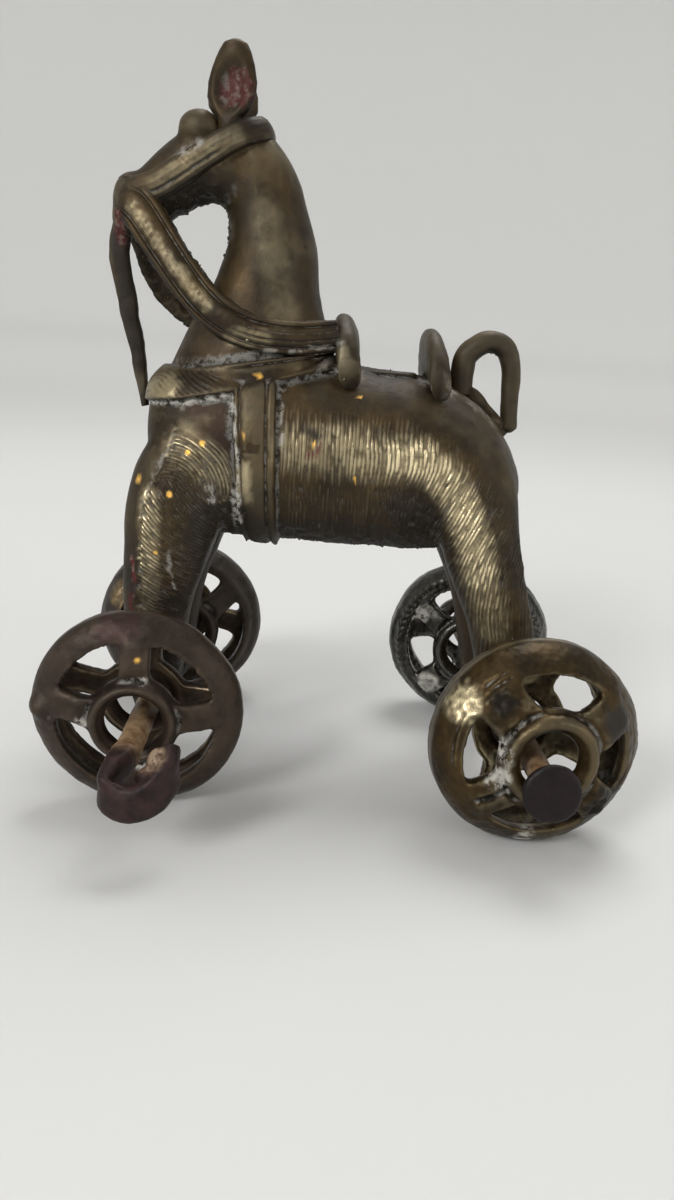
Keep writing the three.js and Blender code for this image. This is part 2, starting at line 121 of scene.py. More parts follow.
def between(rows, steps):
    """Fills in a table of stations with a smooth curve, steps to each gap."""
    rows = np.array(rows, float)
    held = np.vstack([2 * rows[0] - rows[1], rows, 2 * rows[-1] - rows[-2]])
    out = []
    for a, b, c, d in zip(held[:-3], held[1:-2], held[2:-1], held[3:]):
        for t in np.arange(steps) / steps:
            bend = (2 * a - 5 * b + 4 * c - d) * t * t + (3 * b - a - 3 * c + d) * t**3
            out.append(0.5 * (2 * b + (c - a) * t + bend))
    return np.array([*out, rows[-1]])


def unit(ways):
    """The same directions, each one long."""
    return ways / np.linalg.norm(ways, axis=1, keepdims=True)


def places(x, y, z):
    """Points from three coordinates, any of which may be one number for all."""
    return np.stack(np.broadcast_arrays(x, y, z), axis=-1)


def spanned(low, high, share):
    """From low to high while share goes from -1 to 1."""
    return (low + high) / 2 + (high - low) / 2 * share


def gone_along(points):
    """How far along a line each of its points lies."""
    return np.concatenate([[0], np.cumsum(np.linalg.norm(np.diff(points, axis=0), axis=1))])


def evenly_along(points, count, endpoint=True):
    """Places at equal steps along a line of points."""
    gone = gone_along(points)
    marks = np.linspace(0, gone[-1], count, endpoint=endpoint)
    return np.stack([np.interp(marks, gone, way) for way in points.T], axis=1)


def even_path(points, spacing):
    """The smooth curve through some points, walked in equal steps."""
    fine = between(points, 24)
    return evenly_along(fine, max(2, round(gone_along(fine)[-1] / spacing)) + 1)


def oval(sides, power=2.0):
    """Points round an oval: power 2 is an ellipse, and more makes it squarer."""
    angle = np.linspace(0, 2 * np.pi, sides, endpoint=False)
    bend = lambda v: np.sign(v) * np.abs(v) ** (2 / power)
    return np.stack([bend(np.cos(angle)), bend(np.sin(angle))], axis=1)


# Meshes

def new_object(name, data):
    obj = bpy.data.objects.new(name, data)
    bpy.context.scene.collection.objects.link(obj)
    return obj


def mesh_object(name, points, faces=(), edges=()):
    mesh = bpy.data.meshes.new(name)
    mesh.from_pydata(np.asarray(points).tolist(), edges, faces)
    mesh.validate()
    return new_object(name, mesh)


def read_rows(rows, field, width):
    flat = np.empty(len(rows) * width, np.float32)
    rows.foreach_get(field, flat)
    return flat.astype(float).reshape(-1, width)


def points_of(obj):
    return read_rows(obj.data.vertices, "co", 3)


def set_points(obj, points):
    obj.data.vertices.foreach_set("co", points.astype(np.float32).ravel())
    obj.data.update()


def normals_of(obj):
    return read_rows(obj.data.vertex_normals, "vector", 3)


def values_of(obj, name):
    return read_rows(obj.data.attributes[name].data, "value", 1)[:, 0]


def set_values(obj, name, values):
    """Keeps a number, or a vector, with each point."""
    values = np.asarray(values, np.float32)
    kind, field = ("FLOAT", "value") if values.ndim == 1 else ("FLOAT_VECTOR", "vector")
    layer = obj.data.attributes.get(name) or obj.data.attributes.new(name, kind, "POINT")
    layer.data.foreach_set(field, values.ravel())


def push_out(obj, rise):
    """Moves each point along its normal, by its own number of millimetres."""
    set_points(obj, points_of(obj) + normals_of(obj) * rise[:, None])
    return obj


def settle(obj):
    """Turns what the modifiers show into the object's own plain mesh."""
    graph = bpy.context.evaluated_depsgraph_get()
    old = obj.data
    obj.data = bpy.data.meshes.new_from_object(obj.evaluated_get(graph))
    obj.modifiers.clear()
    bpy.data.meshes.remove(old)
    return obj


def modify(obj, kind, **settings):
    modifier = obj.modifiers.new(kind.title(), kind)
    for key, value in settings.items():
        setattr(modifier, key, value)
    return settle(obj)


def remeshed(obj, grain, rounds):
    """Runs a solid together into one even skin and rubs it smooth."""
    modify(obj, "REMESH", mode="VOXEL", voxel_size=grain)
    modify(obj, "SMOOTH", factor=0.5, iterations=rounds)
    return obj


def discard(obj):
    mesh = obj.data
    bpy.data.objects.remove(obj)
    if mesh is not None and mesh.users == 0:
        bpy.data.meshes.remove(mesh)


def joined(name, objects):
    """One object that holds the meshes of several, without their attributes."""
    points, faces, start = [], [], 0
    for obj in objects:
        points.append(points_of(obj))
        faces += [[start + v for v in face.vertices] for face in obj.data.polygons]
        start += len(obj.data.vertices)
        discard(obj)
    return mesh_object(name, np.vstack(points), faces)


def fuse(obj, other, operation="UNION"):
    """Joins or cuts a closed solid with another, which is used up."""
    modify(obj, "BOOLEAN", object=other, operation=operation, solver="MANIFOLD")
    discard(other)
    return obj


def ring_faces(count, sides, closed):
    """Faces between rings of points; closed also joins the last ring to the first."""
    faces = []
    for ring in range(count if closed else count - 1):
        here, after = ring * sides, (ring + 1) % count * sides
        for left in range(sides):
            right = (left + 1) % sides
            faces.append([here + left, here + right, after + right, after + left])
    return faces


def loft(name, rings, closed=False):
    """A skin over rings of as many points each, flat at both ends or closed like a tyre."""
    rings = np.asarray(rings, float)
    count, sides = rings.shape[:2]
    points, faces = rings.reshape(-1, 3), ring_faces(count, sides, closed)
    if not closed:
        last = (count - 1) * sides
        faces += [list(range(sides))[::-1], list(range(last, last + sides))]
    if signed_volume(points, faces) < 0:
        faces = [face[::-1] for face in faces]
    return mesh_object(name, points, faces)


def signed_volume(points, faces):
    total = 0.0
    for face in faces:
        for b, c in zip(face[1:-1], face[2:]):
            total += points[face[0]] @ np.cross(points[b], points[c])
    return total / 6


# The band tree: a section carried along a path, for straps, reins, tail and nails

class Wiring:
    """A node tree, wired a node at a time."""

    def __init__(self, tree):
        self.tree = tree

    def link(self, source, target):
        """Wires a socket to another node's socket, or sets it to a number or a colour."""
        if isinstance(source, bpy.types.NodeSocket):
            self.tree.links.new(source, target)
        else:
            target.default_value = source

    def add(self, kind, inputs=None, **settings):
        node = self.tree.nodes.new(kind)
        for key, value in settings.items():
            setattr(node, key, value)
        for socket, source in (inputs or {}).items():
            self.link(source, node.inputs[socket])
        return node

    def math(self, operation, a, b=0.0, clamp=False):
        node = self.add("ShaderNodeMath", {0: a, 1: b}, operation=operation, use_clamp=clamp)
        return node.outputs[0]


class GeometryWiring(Wiring):
    """A geometry tree with one geometry output, whose inputs are rows of name, kind and default."""

    def __init__(self, name, inputs, output):
        super().__init__(bpy.data.node_groups.new(name, "GeometryNodeTree"))
        self.output = output
        for socket, kind, *default in inputs:
            made = self.tree.interface.new_socket(
                socket, in_out="INPUT", socket_type="NodeSocket" + kind)
            if default:
                made.default_value = default[0]
        self.tree.interface.new_socket(output, in_out="OUTPUT", socket_type="NodeSocketGeometry")
        self.given = self.add("NodeGroupInput").outputs

    def stored(self, name, kind="FLOAT"):
        node = self.add("GeometryNodeInputNamedAttribute", {"Name": name}, data_type=kind)
        return node.outputs["Attribute"]

    def vector(self, operation, inputs):
        return self.add("ShaderNodeVectorMath", inputs, operation=operation).outputs[0]

    def hand_out(self, geometry):
        """Makes every instance real, gives the whole its finish and passes it on."""
        real = self.add("GeometryNodeRealizeInstances", {"Geometry": geometry})
        finish = self.add("GeometryNodeSetMaterial", {
            "Geometry": real.outputs["Geometry"], "Material": self.given["Finish"],
        })
        self.add("NodeGroupOutput", {self.output: finish.outputs["Geometry"]})
        return self.tree


BAND_TREE, CRUMB_TREE = "Band along a path", "Crumbs on a skin"


def band_tree():
    """Path and Section are edge loops that carry their own ways and offsets as attributes."""
    w = GeometryWiring(BAND_TREE, [
        ("Path", "Geometry"), ("Section", "Object"), ("Width", "Float", 1.0),
        ("Thickness", "Float", 1.0), ("Finish", "Material"),
    ], "Band")
    path = w.add("GeometryNodeMeshToCurve", {"Mesh": w.given["Path"]})
    source = w.add(
        "GeometryNodeObjectInfo", {"Object": w.given["Section"]}, transform_space="ORIGINAL")
    section = w.add("GeometryNodeMeshToCurve", {"Mesh": source.outputs["Geometry"]})
    skin = w.add("GeometryNodeCurveToMesh", {
        "Curve": path.outputs["Curve"], "Profile Curve": section.outputs["Curve"],
        "Fill Caps": True,
    })
    total = w.stored("middle", "FLOAT_VECTOR")
    for way, share, size, factor in (("across_way", "across", "half_width", "Width"),
                                     ("out_way", "out", "depth", "Thickness")):
        offset = w.stored(way, "FLOAT_VECTOR")
        for scale in (w.stored(share), w.stored(size), w.given[factor]):
            offset = w.vector("SCALE", {0: offset, "Scale": scale})
        total = w.vector("ADD", {0: total, 1: offset})
    place = w.add("GeometryNodeSetPosition", {"Geometry": skin.outputs["Mesh"], "Position": total})
    return w.hand_out(place.outputs["Geometry"])


def run_tree(obj, tree, **inputs):
    """Puts a node tree on an object, sets its inputs by their identifiers and keeps the result."""
    modifier = obj.modifiers.new("Tree", "NODES")
    modifier.node_group = tree
    sockets = {item.name: item.identifier for item in tree.interface.items_tree
               if item.in_out == "INPUT"}
    for name, value in inputs.items():
        modifier[sockets[name]] = value
    return settle(obj)


def edge_loop(name, points, closed):
    count = len(points)
    edges = [(i, i + 1) for i in range(count - 1)] + ([(count - 1, 0)] if closed else [])
    return mesh_object(name, points, edges=edges)


def band(name, path, section, across, half_width, depth=1.0, flip=1):
    """Carries a section along a path.

    path is an (n, 3) array, across the way of the band's width at each point or everywhere, and
    section rows of (across, out), across in half widths and out in millimetres."""
    along = unit(np.gradient(path, axis=0))
    out = unit(np.cross(along, np.broadcast_to(np.asarray(across, float), path.shape)))
    count = len(path)
    route = edge_loop(name, path, closed=False)
    notes = {
        "middle": path, "across_way": np.cross(out, along), "out_way": out * flip,
        "half_width": np.broadcast_to(half_width, count), "depth": np.broadcast_to(depth, count),
        "along": np.arange(count) * np.linalg.norm(path[1] - path[0]),
    }
    for note, values in notes.items():
        set_values(route, note, values)
    section = np.asarray(section, float)
    outline = edge_loop(name + "_section", np.pad(section, ((0, 0), (0, 1))), closed=True)
    set_values(outline, "across", section[:, 0])
    set_values(outline, "out", section[:, 1])
    tree = bpy.data.node_groups.get(BAND_TREE) or band_tree()
    run_tree(route, tree, Section=outline, Width=1.0, Thickness=1.0)
    discard(outline)
    if signed_volume(points_of(route), [list(face.vertices) for face in route.data.polygons]) < 0:
        route.data.flip_normals()
    return route


def crumb_tree():
    """Breaks small crumbs over a skin, thickest where the skin's own crumbs attribute is high."""
    w = GeometryWiring(CRUMB_TREE, [
        ("Skin", "Geometry"), ("Most", "Float", 1.0), ("Smallest", "Float", 0.1),
        ("Largest", "Float", 0.4), ("Finish", "Material"),
    ], "Crumbs")
    spots = w.add("GeometryNodeDistributePointsOnFaces", {
        "Mesh": w.given["Skin"], "Seed": 7,
        "Density": w.math("MULTIPLY", w.stored("crumbs"), w.given["Most"]),
    })
    turn = w.add(
        "FunctionNodeRandomValue", {"Max": (6.28,) * 3, "Seed": 8}, data_type="FLOAT_VECTOR")
    size = w.add("FunctionNodeRandomValue", {
        "Min": w.given["Smallest"], "Max": w.given["Largest"], "Seed": 9,
    }, data_type="FLOAT_VECTOR")
    crumb = w.add("GeometryNodeMeshIcoSphere", {"Radius": 1.0, "Subdivisions": 1})
    laid = w.add("GeometryNodeInstanceOnPoints", {
        "Points": spots.outputs["Points"], "Instance": crumb.outputs["Mesh"],
        "Rotation": turn.outputs[0], "Scale": size.outputs[0],
    })
    return w.hand_out(laid.outputs["Instances"])


def crumbs_on(skin, amounts, most):
    """The crumbs that a skin carries, as an object of their own."""
    crumbs = new_object("crumbs", skin.data.copy())
    set_values(crumbs, "crumbs", amounts)
    tree = bpy.data.node_groups.get(CRUMB_TREE) or crumb_tree()
    return run_tree(crumbs, tree, Most=most, Smallest=0.1, Largest=0.42)


# The horse's forms, with the same sizes as its solid

BARREL = [  # x, lowest, highest, half width
    (-41, 65, 77, 6), (-39.8, 60, 80.5, 10.5), (-36.4, 54.5, 83.6, 14), (-29, 51, 86, 16.2),
    (-18, 50, 86.6, 17), (10, 49.7, 85, 17), (19, 50.2, 83, 16.6), (26, 52.6, 78.6, 15.4),
    (30.6, 56, 73.4, 12.6), (33.6, 59, 67.6, 7.5),
]
NECK = [  # z, throat, crest, half width
    (76, -39.6, -4, 13.6), (83, -37.4, -5, 12.8), (91, -33.8, -6.6, 11), (99, -29.6, -8.6, 9),
    (107, -27, -9.8, 7.8), (113, -27.4, -11.8, 7.2), (118, -29.5, -13.4, 7),
    (122.5, -29.5, -15.8, 6.6), (126.5, -28, -19.4, 5),
]
HEAD = [  # distance from the poll, above, below, half width
    (-2, 2.5, 6, 5), (4, 5.2, 8, 6.6), (9, 6.6, 6.6, 6.8), (14, 7.8, 4.6, 6.2),
    (19, 6.6, 5.4, 5.2), (24, 4.6, 5.2, 4.6), (28.6, 3.6, 4.2, 4), (30.6, 1.6, 2.6, 2.4),
]
FORELEG = [  # z, front, back, inner side, outer side
    (70, -39.6, -22, 2.5, 15.4), (64, -42.4, -22.6, 2.8, 16.6), (57, -44, -24, 3.4, 17.2),
    (50, -44.2, -26.4, 4, 17.4), (43, -44.4, -28.8, 4.6, 17.4), (35, -44.2, -31.2, 5.4, 17.2),
    (22, -43.4, -32.6, 6, 17), (12.8, -41.6, -34.2, 7, 16),
]
HIND_LEG = [
    (72, 14, 29.6, 3, 14.4), (65, 15, 32.4, 2.8, 16.2), (57, 17, 33.8, 3, 17.2),
    (50, 19.4, 35.2, 4, 17.4), (43, 22.7, 37, 4.6, 17.4), (35, 26.2, 39.3, 5.4, 17.2),
    (22, 29.4, 41, 6, 17), (12.8, 31.4, 39.6, 7, 16),
]
POLL = np.array([-20.0, 0.0, 123.0])
HEAD_SLOPE = math.radians(20.9)
FOOT_MIDDLE = 12.0
ANKLE, FOOT = 45.0, 20.0  # heights between which the lower leg leans
NAILS = {  # where each nail's middle line passes the near and the far wheels
    "front": ((-36.9, -30, 18.6), (-39.5, 30, 18.1)),
    "rear": ((36.6, -30, 17.9), (34.2, 30, 18.0)),
}
NAIL_RADIUS = 2.4
NAIL_PLAY = 0.3  # between a nail and its hole in the foot
NAIL_GRAIN = 0.3


def along_nail(which, y):
    near, far = np.array(NAILS[which], float)
    return near + (far - near) * (y - near[1]) / (far[1] - near[1])


def head_point(along, up, y):
    """Places on the head, which is drawn along its own sloping line."""
    cos, sin = math.cos(HEAD_SLOPE), math.sin(HEAD_SLOPE)
    return places(POLL[0] - along * cos - up * sin, y, POLL[2] - along * sin + up * cos)


def station_loft(name, rows, section, outline):
    """A loft through a table of stations; outline gives one station's ring from the section."""
    return loft(name, [outline(*section.T, *row) for row in between(rows, 5)])


def barrel():
    return station_loft("barrel", BARREL, oval(40, 2.3), lambda u, v, x, low, high, half: places(
        x, half * u, spanned(low, high, v)))


def neck():
    return station_loft("neck", NECK, oval(36, 2.1), lambda u, v, z, throat, crest, half: places(
        spanned(throat, crest, u), half * v, z))


def head():
    return station_loft(
        "head", HEAD, oval(32, 2.2), lambda u, v, along, above, below, half: head_point(
            along, spanned(-below, above, v), half * u))


def leg(stations, side, shift):
    """A foot stands over its own nail, so the lower leg leans by the nail's slant in plan."""
    def outline(u, v, z, front, back, inner, outer):
        lean = shift * np.clip((ANKLE - z) / (ANKLE - FOOT), 0, 1)
        return places(spanned(front, back, u) + lean, side * spanned(inner, outer, v), z)
    return station_loft("leg", stations, oval(36, 2.6), outline)


def egg(name, centre, radii):
    u, v = oval(20).T
    return loft(name, [centre + places(u * math.sin(a), v * math.sin(a), math.cos(a)) * radii
                       for a in np.linspace(0.12, np.pi - 0.12, 10)])


def bare_horse(sizes):
    """The wax horse without its harness: lofts run together, rubbed smooth and made fine."""
    parts = [barrel(), neck(), head()]
    for side in (-1, 1):
        for which, stations, drawn_at in (("front", FORELEG, -37.9), ("rear", HIND_LEG, 35.9)):
            shift = along_nail(which, side * FOOT_MIDDLE)[0] - drawn_at
            parts.append(leg(stations, side, shift))
        parts.append(egg("brow", head_point(10.6, 7.0, side * 2.8), (4.1, 3.3, 3.5)))
    parts.append(egg("muzzle", (-45.4, 0, 113.4), (3.7, 5.0, 5.0)))
    parts.append(egg("lip", (-46.2, 0, 110.6), (3.0, 4.6, 4.2)))
    horse = remeshed(joined("horse", parts), sizes.wax_grain, 12)
    return modify(horse, "SUBSURF", levels=1, render_levels=1)


# Work on the wax: straps, hair and roughness, as heights over the skin

STRAP_TOP = [(-50, 83), (-33, 82.9), (-5, 88.2)]
STRAP_BOTTOM = [(-50, 75.4), (-33, 77.2), (-23.5, 79.2), (-5, 84.4)]
SHIN = [(-39.6, 12), (-40.5, 43.8), (-40.1, 53.3), (-39.4, 58.5), (-36.2, 64.3), (-34.0, 71.8)]
COAT_TOP = [
    (-12.7, 77.9), (-5.5, 76.9), (2.4, 77.4), (10.4, 77.1), (13.2, 75.0), (18.7, 74.0),
    (21.7, 71.1), (27, 66), (33, 57), (37, 45), (42, 30),
]


def height_at(x, line):
    """The height of a line drawn along the side, given as rows of x and z."""
    return np.interp(x, *np.transpose(line))


def near_line(x, z, line, width, core=0.4):
    """1 along a line drawn on the side, fading to 0 at its width in millimetres."""
    nearest = np.full(len(x), 1e9)
    for (ax, az), (bx, bz) in zip(line, line[1:] or line):
        run, rise = bx - ax, bz - az
        length = max(run * run + rise * rise, 1e-9)
        share = np.clip(((x - ax) * run + (z - az) * rise) / length, 0, 1)
        nearest = np.minimum(nearest, np.hypot(x - ax - share * run, z - az - share * rise))
    return smoothstep(width, width * core, nearest)


def breast_strap(points):
    """A broad strap round the chest, with a line near its top edge and wavy tool marks in front."""
    x, z = points[:, 0], points[:, 2]
    top, bottom = height_at(x, STRAP_TOP), height_at(x, STRAP_BOTTOM)
    u = (z - bottom) / (top - bottom)
    rise = plateau(u, 0.04, 0.95, 0.06) * (1.0 + 0.3 * (1 - (2 * u - 1) ** 2))
    line = plateau(u, 0.79, 0.82, 0.04) * smoothstep(-26, -18, x) * 0.45
    veins = waves(0.5 * x + z - 1.2 * lumps(points, 5, 29), 0.95)
    veins = np.clip(veins, 0, 1) * plateau(u, 0.15, 0.75, 0.12) * plateau(x, -43, -27, 3)
    veins *= np.clip(0.5 + lumps(points, 2.2, 30), 0, 1)
    return (rise - line - 0.16 * veins) * smoothstep(-2.6, -3.4, x)


def girth(points):
    """Two thin ribs with a broad plate between them, which runs up under the breast strap."""
    x, z = points[:, 0], points[:, 2]
    left = np.interp(z, [45, 80], [-20.6, -23.3])
    right = np.interp(z, [45, 81], [-13.8, -15.3])
    v = (x - left) / (right - left)
    profile = np.interp(
        v,
        [-0.03, 0.02, 0.07, 0.12, 0.155, 0.19, 0.3, 0.5,
         0.68, 0.735, 0.765, 0.8, 0.87, 0.94, 0.99, 1.03],
        [0, 0.9, 1.15, 1.05, 0.8, 1.05, 1.32, 1.42,
         1.28, 1.1, 0.6, 0.98, 1.18, 1.05, 0.6, 0],
    )
    profile += 0.25 * plateau(v, 0.8, 0.97, 0.03) * smoothstep(68.4, 67.7, z)
    return profile * (1 - smoothstep(1.4, 2.6, z - height_at(x, STRAP_BOTTOM)))


def shin_line(z):
    """Where the foreleg's smooth front strip meets its hair, at some height."""
    edge = np.array(SHIN)
    return np.interp(z, edge[:, 1], edge[:, 0])


def shin_edge(points, normals):
    """The foreleg's smooth front strip stands a little over its hairy side."""
    x, y, z = points.T
    here = (smoothstep(0.2, 0.6, normals[:, 1] * np.sign(y)) * plateau(z, 16, 70, 3)
            * (np.abs(y) > 6))
    beads = 0.35 * np.clip(lumps(points, 1.0, 9), 0, 1) * near_line(x, z, SHIN, 0.9)
    strip = 0.22 * smoothstep(0.4, -0.2, x - shin_line(z)) + 1.3 * beads
    return here * strip * smoothstep(-30, -33, x)


def stroke_rows(points, across, along, sizes, seed):
    """Ridges side by side, each rising and dying away in its own places: 1 on a ridge, 0 off it."""
    phase = across / sizes.stroke_gap + 0.5 * lumps(points * (0.5, 0.3, 0.35), 2.0, seed)
    number = np.floor(phase)
    own = lumps(np.stack([number * 5, number * 3, along / 1.9], axis=1), 1.0, seed)
    ridge = 1 - (0.5 + 0.5 * waves(phase)) ** 1.7
    return ridge * np.clip(0.72 + 0.6 * own, 0.2, 1.1)


def coat(points, normals, sizes):
    """Fine strokes down the flank that lean with the haunch, and a fan over the shoulder."""
    x, y, z = points.T
    lean = 0.45 * smoothstep(2, 20, x) * (1 - 0.6 * smoothstep(66, 74, z))
    lean *= 0.3 + 0.7 * smoothstep(30, 58, z)
    flank = stroke_rows(points, x - lean * (z - 62), z, sizes, 5)
    flank *= smoothstep(-14.2, -13.4, x) * smoothstep(1.2, -2.2, z - height_at(x, COAT_TOP))
    fan = stroke_rows(points, np.hypot(x + 35, z - 60), 9 * np.arctan2(z - 60, x + 35), sizes, 6)
    levels = np.linspace(10, 75, 260)
    slants = np.radians(np.interp(levels, [34, 62], [72, 30]))
    climbed = np.cumsum(np.sin(slants)) * (levels[1] - levels[0])
    slant, climb = np.interp(z, levels, slants), np.interp(z, levels, climbed)
    lower = stroke_rows(points, np.cos(slant) * (x + 40) + climb, x - z, sizes, 7)
    upper = smoothstep(60.5, 62.5, z + 0.3 * (x + 30))
    foreleg = fan * upper + lower * (1 - upper)
    foreleg *= (smoothstep(0, 0.8, x - shin_line(z)) * smoothstep(-22, -23, x)
                * smoothstep(72, 69, z))
    outside = smoothstep(0.1, 0.5, normals[:, 1] * np.sign(y))
    return sizes.stroke_depth * (flank + foreleg) * outside * smoothstep(14, 22, z)


ROUGH_PLACES = [  # middle, the same on both sides, radius and strength of what was never cleaned
    ((-31, 0, 114), 7, 1.0), ((-37, 0, 110), 6, 0.9), ((-28.5, 0, 107), 5, 0.8),
    ((-43, 0, 108), 5, 0.8), ((13, 14, 57), 6, 0.6), ((-23, 13, 56), 6, 0.6),
    ((-34, 0, 52), 12, 0.6), ((30, 0, 52), 12, 0.6), ((-37, 11, 17), 8, 0.8),
    ((36, 11, 17), 8, 0.8), ((5, 0, 86), 8, 0.35), ((24, 0, 82), 6, 0.4),
]


def roughness_map(points, normals):
    total = 0.5 * smoothstep(-0.3, -0.8, normals[:, 2]) * smoothstep(40, 48, points[:, 2])
    folded = places(points[:, 0], np.abs(points[:, 1]), points[:, 2])
    for middle, radius, strength in ROUGH_PLACES:
        away = np.linalg.norm(folded - middle, axis=1)
        total = np.maximum(total, strength * smoothstep(radius * 1.35, radius * 0.45, away))
    return total


SOFT_WAX = ((0.2, 9, 1), (0.08, 3.1, 2), (0.03, 1.2, 3))
GRIT = ((0.42, 1.9, 4), (0.26, 0.9, 6))


def casting_skin(points, rough):
    """The hand-made unevenness of wax, and crumbs and pits where the mould was rough."""
    pits = -0.25 * smoothstep(0.74, 0.95, lumps(points, 1.3, 8))
    return layered(points, SOFT_WAX) + pits * (0.35 + rough) + layered(points, GRIT) * rough


def work_the_wax(horse, sizes):
    points, normals = points_of(horse), normals_of(horse)
    strap = np.maximum(breast_strap(points), girth(points)) * sizes.strap_rise
    bare = 1 - smoothstep(0.05, 0.3, strap)
    rise = strap + bare * (coat(points, normals, sizes) + shin_edge(points, normals))
    rise += casting_skin(points, roughness_map(points, normals) * (0.3 + 0.7 * bare))
    push_out(horse, rise)


# Harness that stands free of the skin or crosses it

RIBBED = [  # across the rein: a broad middle rib between two cords
    (-1, -1.3), (-0.5, -1.55), (0, -1.6), (0.5, -1.55), (1, -1.3), (1, 0.3), (0.97, 0.85),
    (0.88, 1.15), (0.78, 1.22), (0.7, 1.14), (0.64, 0.84), (0.59, 0.84), (0.53, 1.2), (0.38, 1.5),
    (0.18, 1.66), (0, 1.7), (-0.18, 1.66), (-0.38, 1.5), (-0.53, 1.2), (-0.59, 0.84), (-0.64, 0.84),
    (-0.7, 1.14), (-0.78, 1.22), (-0.88, 1.15), (-0.97, 0.85), (-1, 0.3),
]
CHEEK = [
    (-1, -1.4), (0, -1.6), (1, -1.4), (1, 0.3), (0.9, 0.9), (0.6, 1.3), (0.2, 1.5), (-0.2, 1.5),
    (-0.6, 1.3), (-0.9, 0.9), (-1, 0.3),
]
NEAR_REIN = [
    (-47.2, 0, 113.4), (-45.4, -4.2, 113), (-42.3, -6.4, 110.4), (-38.4, -7.6, 105.3),
    (-34.5, -9, 100.4), (-30.4, -10.4, 95.9), (-25.9, -11.4, 92.6), (-20, -11.8, 90.4),
    (-12, -11.2, 90), (-4.6, -9.6, 91),
]
FAR_REIN = [
    (-45.4, 0, 113.8), (-44.8, 4.2, 112), (-43.6, 6.4, 107.8), (-41.8, 7.4, 102.8),
    (-39.2, 8.4, 98.2), (-35.2, 9.6, 94.6), (-29, 10.8, 91.8), (-20, 11.8, 90.2),
    (-12, 11.2, 90), (-4.6, 9.6, 91),
]
CHEEK_LINE = [(-44.6, 4.6, 113.6), (-38.6, 5.9, 116), (-31.4, 7, 120.4), (-25.4, 7, 124.2),
              (-21.4, 4.6, 126)]
STRAP_LINE = [(-46.6, 0, 111.6), (-48, 0, 104.4), (-46.2, 0, 94), (-44.4, 0, 86), (-42.7, 0, 75)]


def fine_section(section, steps=3):
    """The same outline with more points on it, so that tool marks have something to bend."""
    section = np.asarray(section, float)
    after = np.roll(section, -1, axis=0)
    shares = np.arange(steps)[None, :, None] / steps
    return (section[:, None] * (1 - shares) + after[:, None] * shares).reshape(-1, 2)


def band_places(strap):
    """Where a band's points lie, how far along and across it, and which are on its outer face."""
    gone, sideways, out = (values_of(strap, note) for note in ("along", "across", "out"))
    return points_of(strap), gone, sideways, out > 0


def rein(points, side):
    """A ribbed rein from the muzzle to the pommel, hatched on its outer face."""
    path = even_path(points, 0.34)
    along = np.gradient(path, axis=0)
    across = unit(places(-along[:, 2], 0, along[:, 0]))
    half = np.linspace(3.9, 2.9, len(path))
    strap = band("rein", path, fine_section(RIBBED), across, half, flip=-side)
    place, gone, sideways, outer = band_places(strap)
    walked = gone + 0.8 * lumps(place, 4, 11)
    hatch = np.clip(waves(walked / 1.2 + 0.9 * sideways), 0, 1)
    hatch += np.clip(waves(walked / 1.5 - 1.1 * sideways), 0, 1)
    broken = np.clip(0.7 + lumps(place, 2.2, 16), 0, 1)
    rise = -0.045 * hatch * outer * (np.abs(sideways) < 0.52) * broken
    lines = plateau(np.abs(sideways), 0.2, 0.26, 0.06) * smoothstep(0.62, 0.75, gone / gone.max())
    rise -= 0.2 * lines * outer
    inner = np.where(outer, 0.1, 1.0)
    rise += inner * layered(place, ((0.32, 1.5, 12), (0.24, 0.8, 13)))
    return push_out(strap, rise + 0.15 * lumps(place, 5, 14))


def headstall():
    """A single rounded band over each cheek, with a groove near its lower edge by the muzzle."""
    cheek = np.array(CHEEK_LINE)
    near = cheek * (1, -1, 1)
    path = even_path([*near, (-20.4, 0, 126.6), *cheek[::-1]], 0.36)
    half = 2.75 - 0.5 * np.sin(np.linspace(0, np.pi, len(path)))
    strap = band("headstall", path, fine_section(CHEEK, 4), (-0.5, 0, 0.87), half)
    place, gone, sideways, outer = band_places(strap)
    from_muzzle = np.minimum(gone, gone.max() - gone)
    groove = plateau(sideways, -0.5, -0.4, 0.14) * plateau(from_muzzle, 5, 17, 3)
    beaten = plateau(from_muzzle, 9, 15, 2) * np.clip(waves(gone / 0.9 + sideways), 0, 1)
    beaten *= np.clip(0.4 + lumps(place, 2.0, 18), 0, 1)
    return roughened(push_out(strap, -(0.22 * groove + 0.13 * beaten) * outer), 0.12, 15)


def roughened(piece, amount, seed):
    """The piece with the unevenness of hand-rolled wax."""
    rise = layered(points_of(piece), ((1.0, 3.4, seed), (0.5, 1.3, seed + 1)))
    return push_out(piece, amount * rise)


def hanging_strap():
    """The strap that hangs from the muzzle, narrowing to its end."""
    path = even_path(STRAP_LINE, 0.4)
    t = np.linspace(0, 1, len(path))
    section = oval(28, 3.2) * (1, 1.3)
    half = 1.9 - 1.3 * t**3
    return roughened(band("hanging_strap", path, section, (1, 0, 0), half), 0.2, 17)


def saddle_arch(name, foot, top, half_width, thick):
    """Pommel and cantle are round-edged crescents that stand across the back."""
    foot, top = np.array([foot[0], 0, foot[1]]), np.array([top[0], 0, top[1]])
    lean = top - foot
    up = lean / np.linalg.norm(lean)
    rings = []
    u, v = oval(32, 2.4).T
    for angle in np.linspace(0.08, 0.92, 80) * np.pi:
        rise = math.sin(angle) ** 0.7
        depth = 1.5 + 4 * rise
        middle = foot + (0, -math.cos(angle) * (half_width - 1.4), 0)
        middle = middle + lean * (rise - depth / np.linalg.norm(lean))
        half = thick / 2 * (0.75 + 0.25 * rise)
        rings.append(middle + np.outer(half * u, (1, 0, 0)) + np.outer(depth * v, up))
    return roughened(loft(name, rings), 0.16, 19)


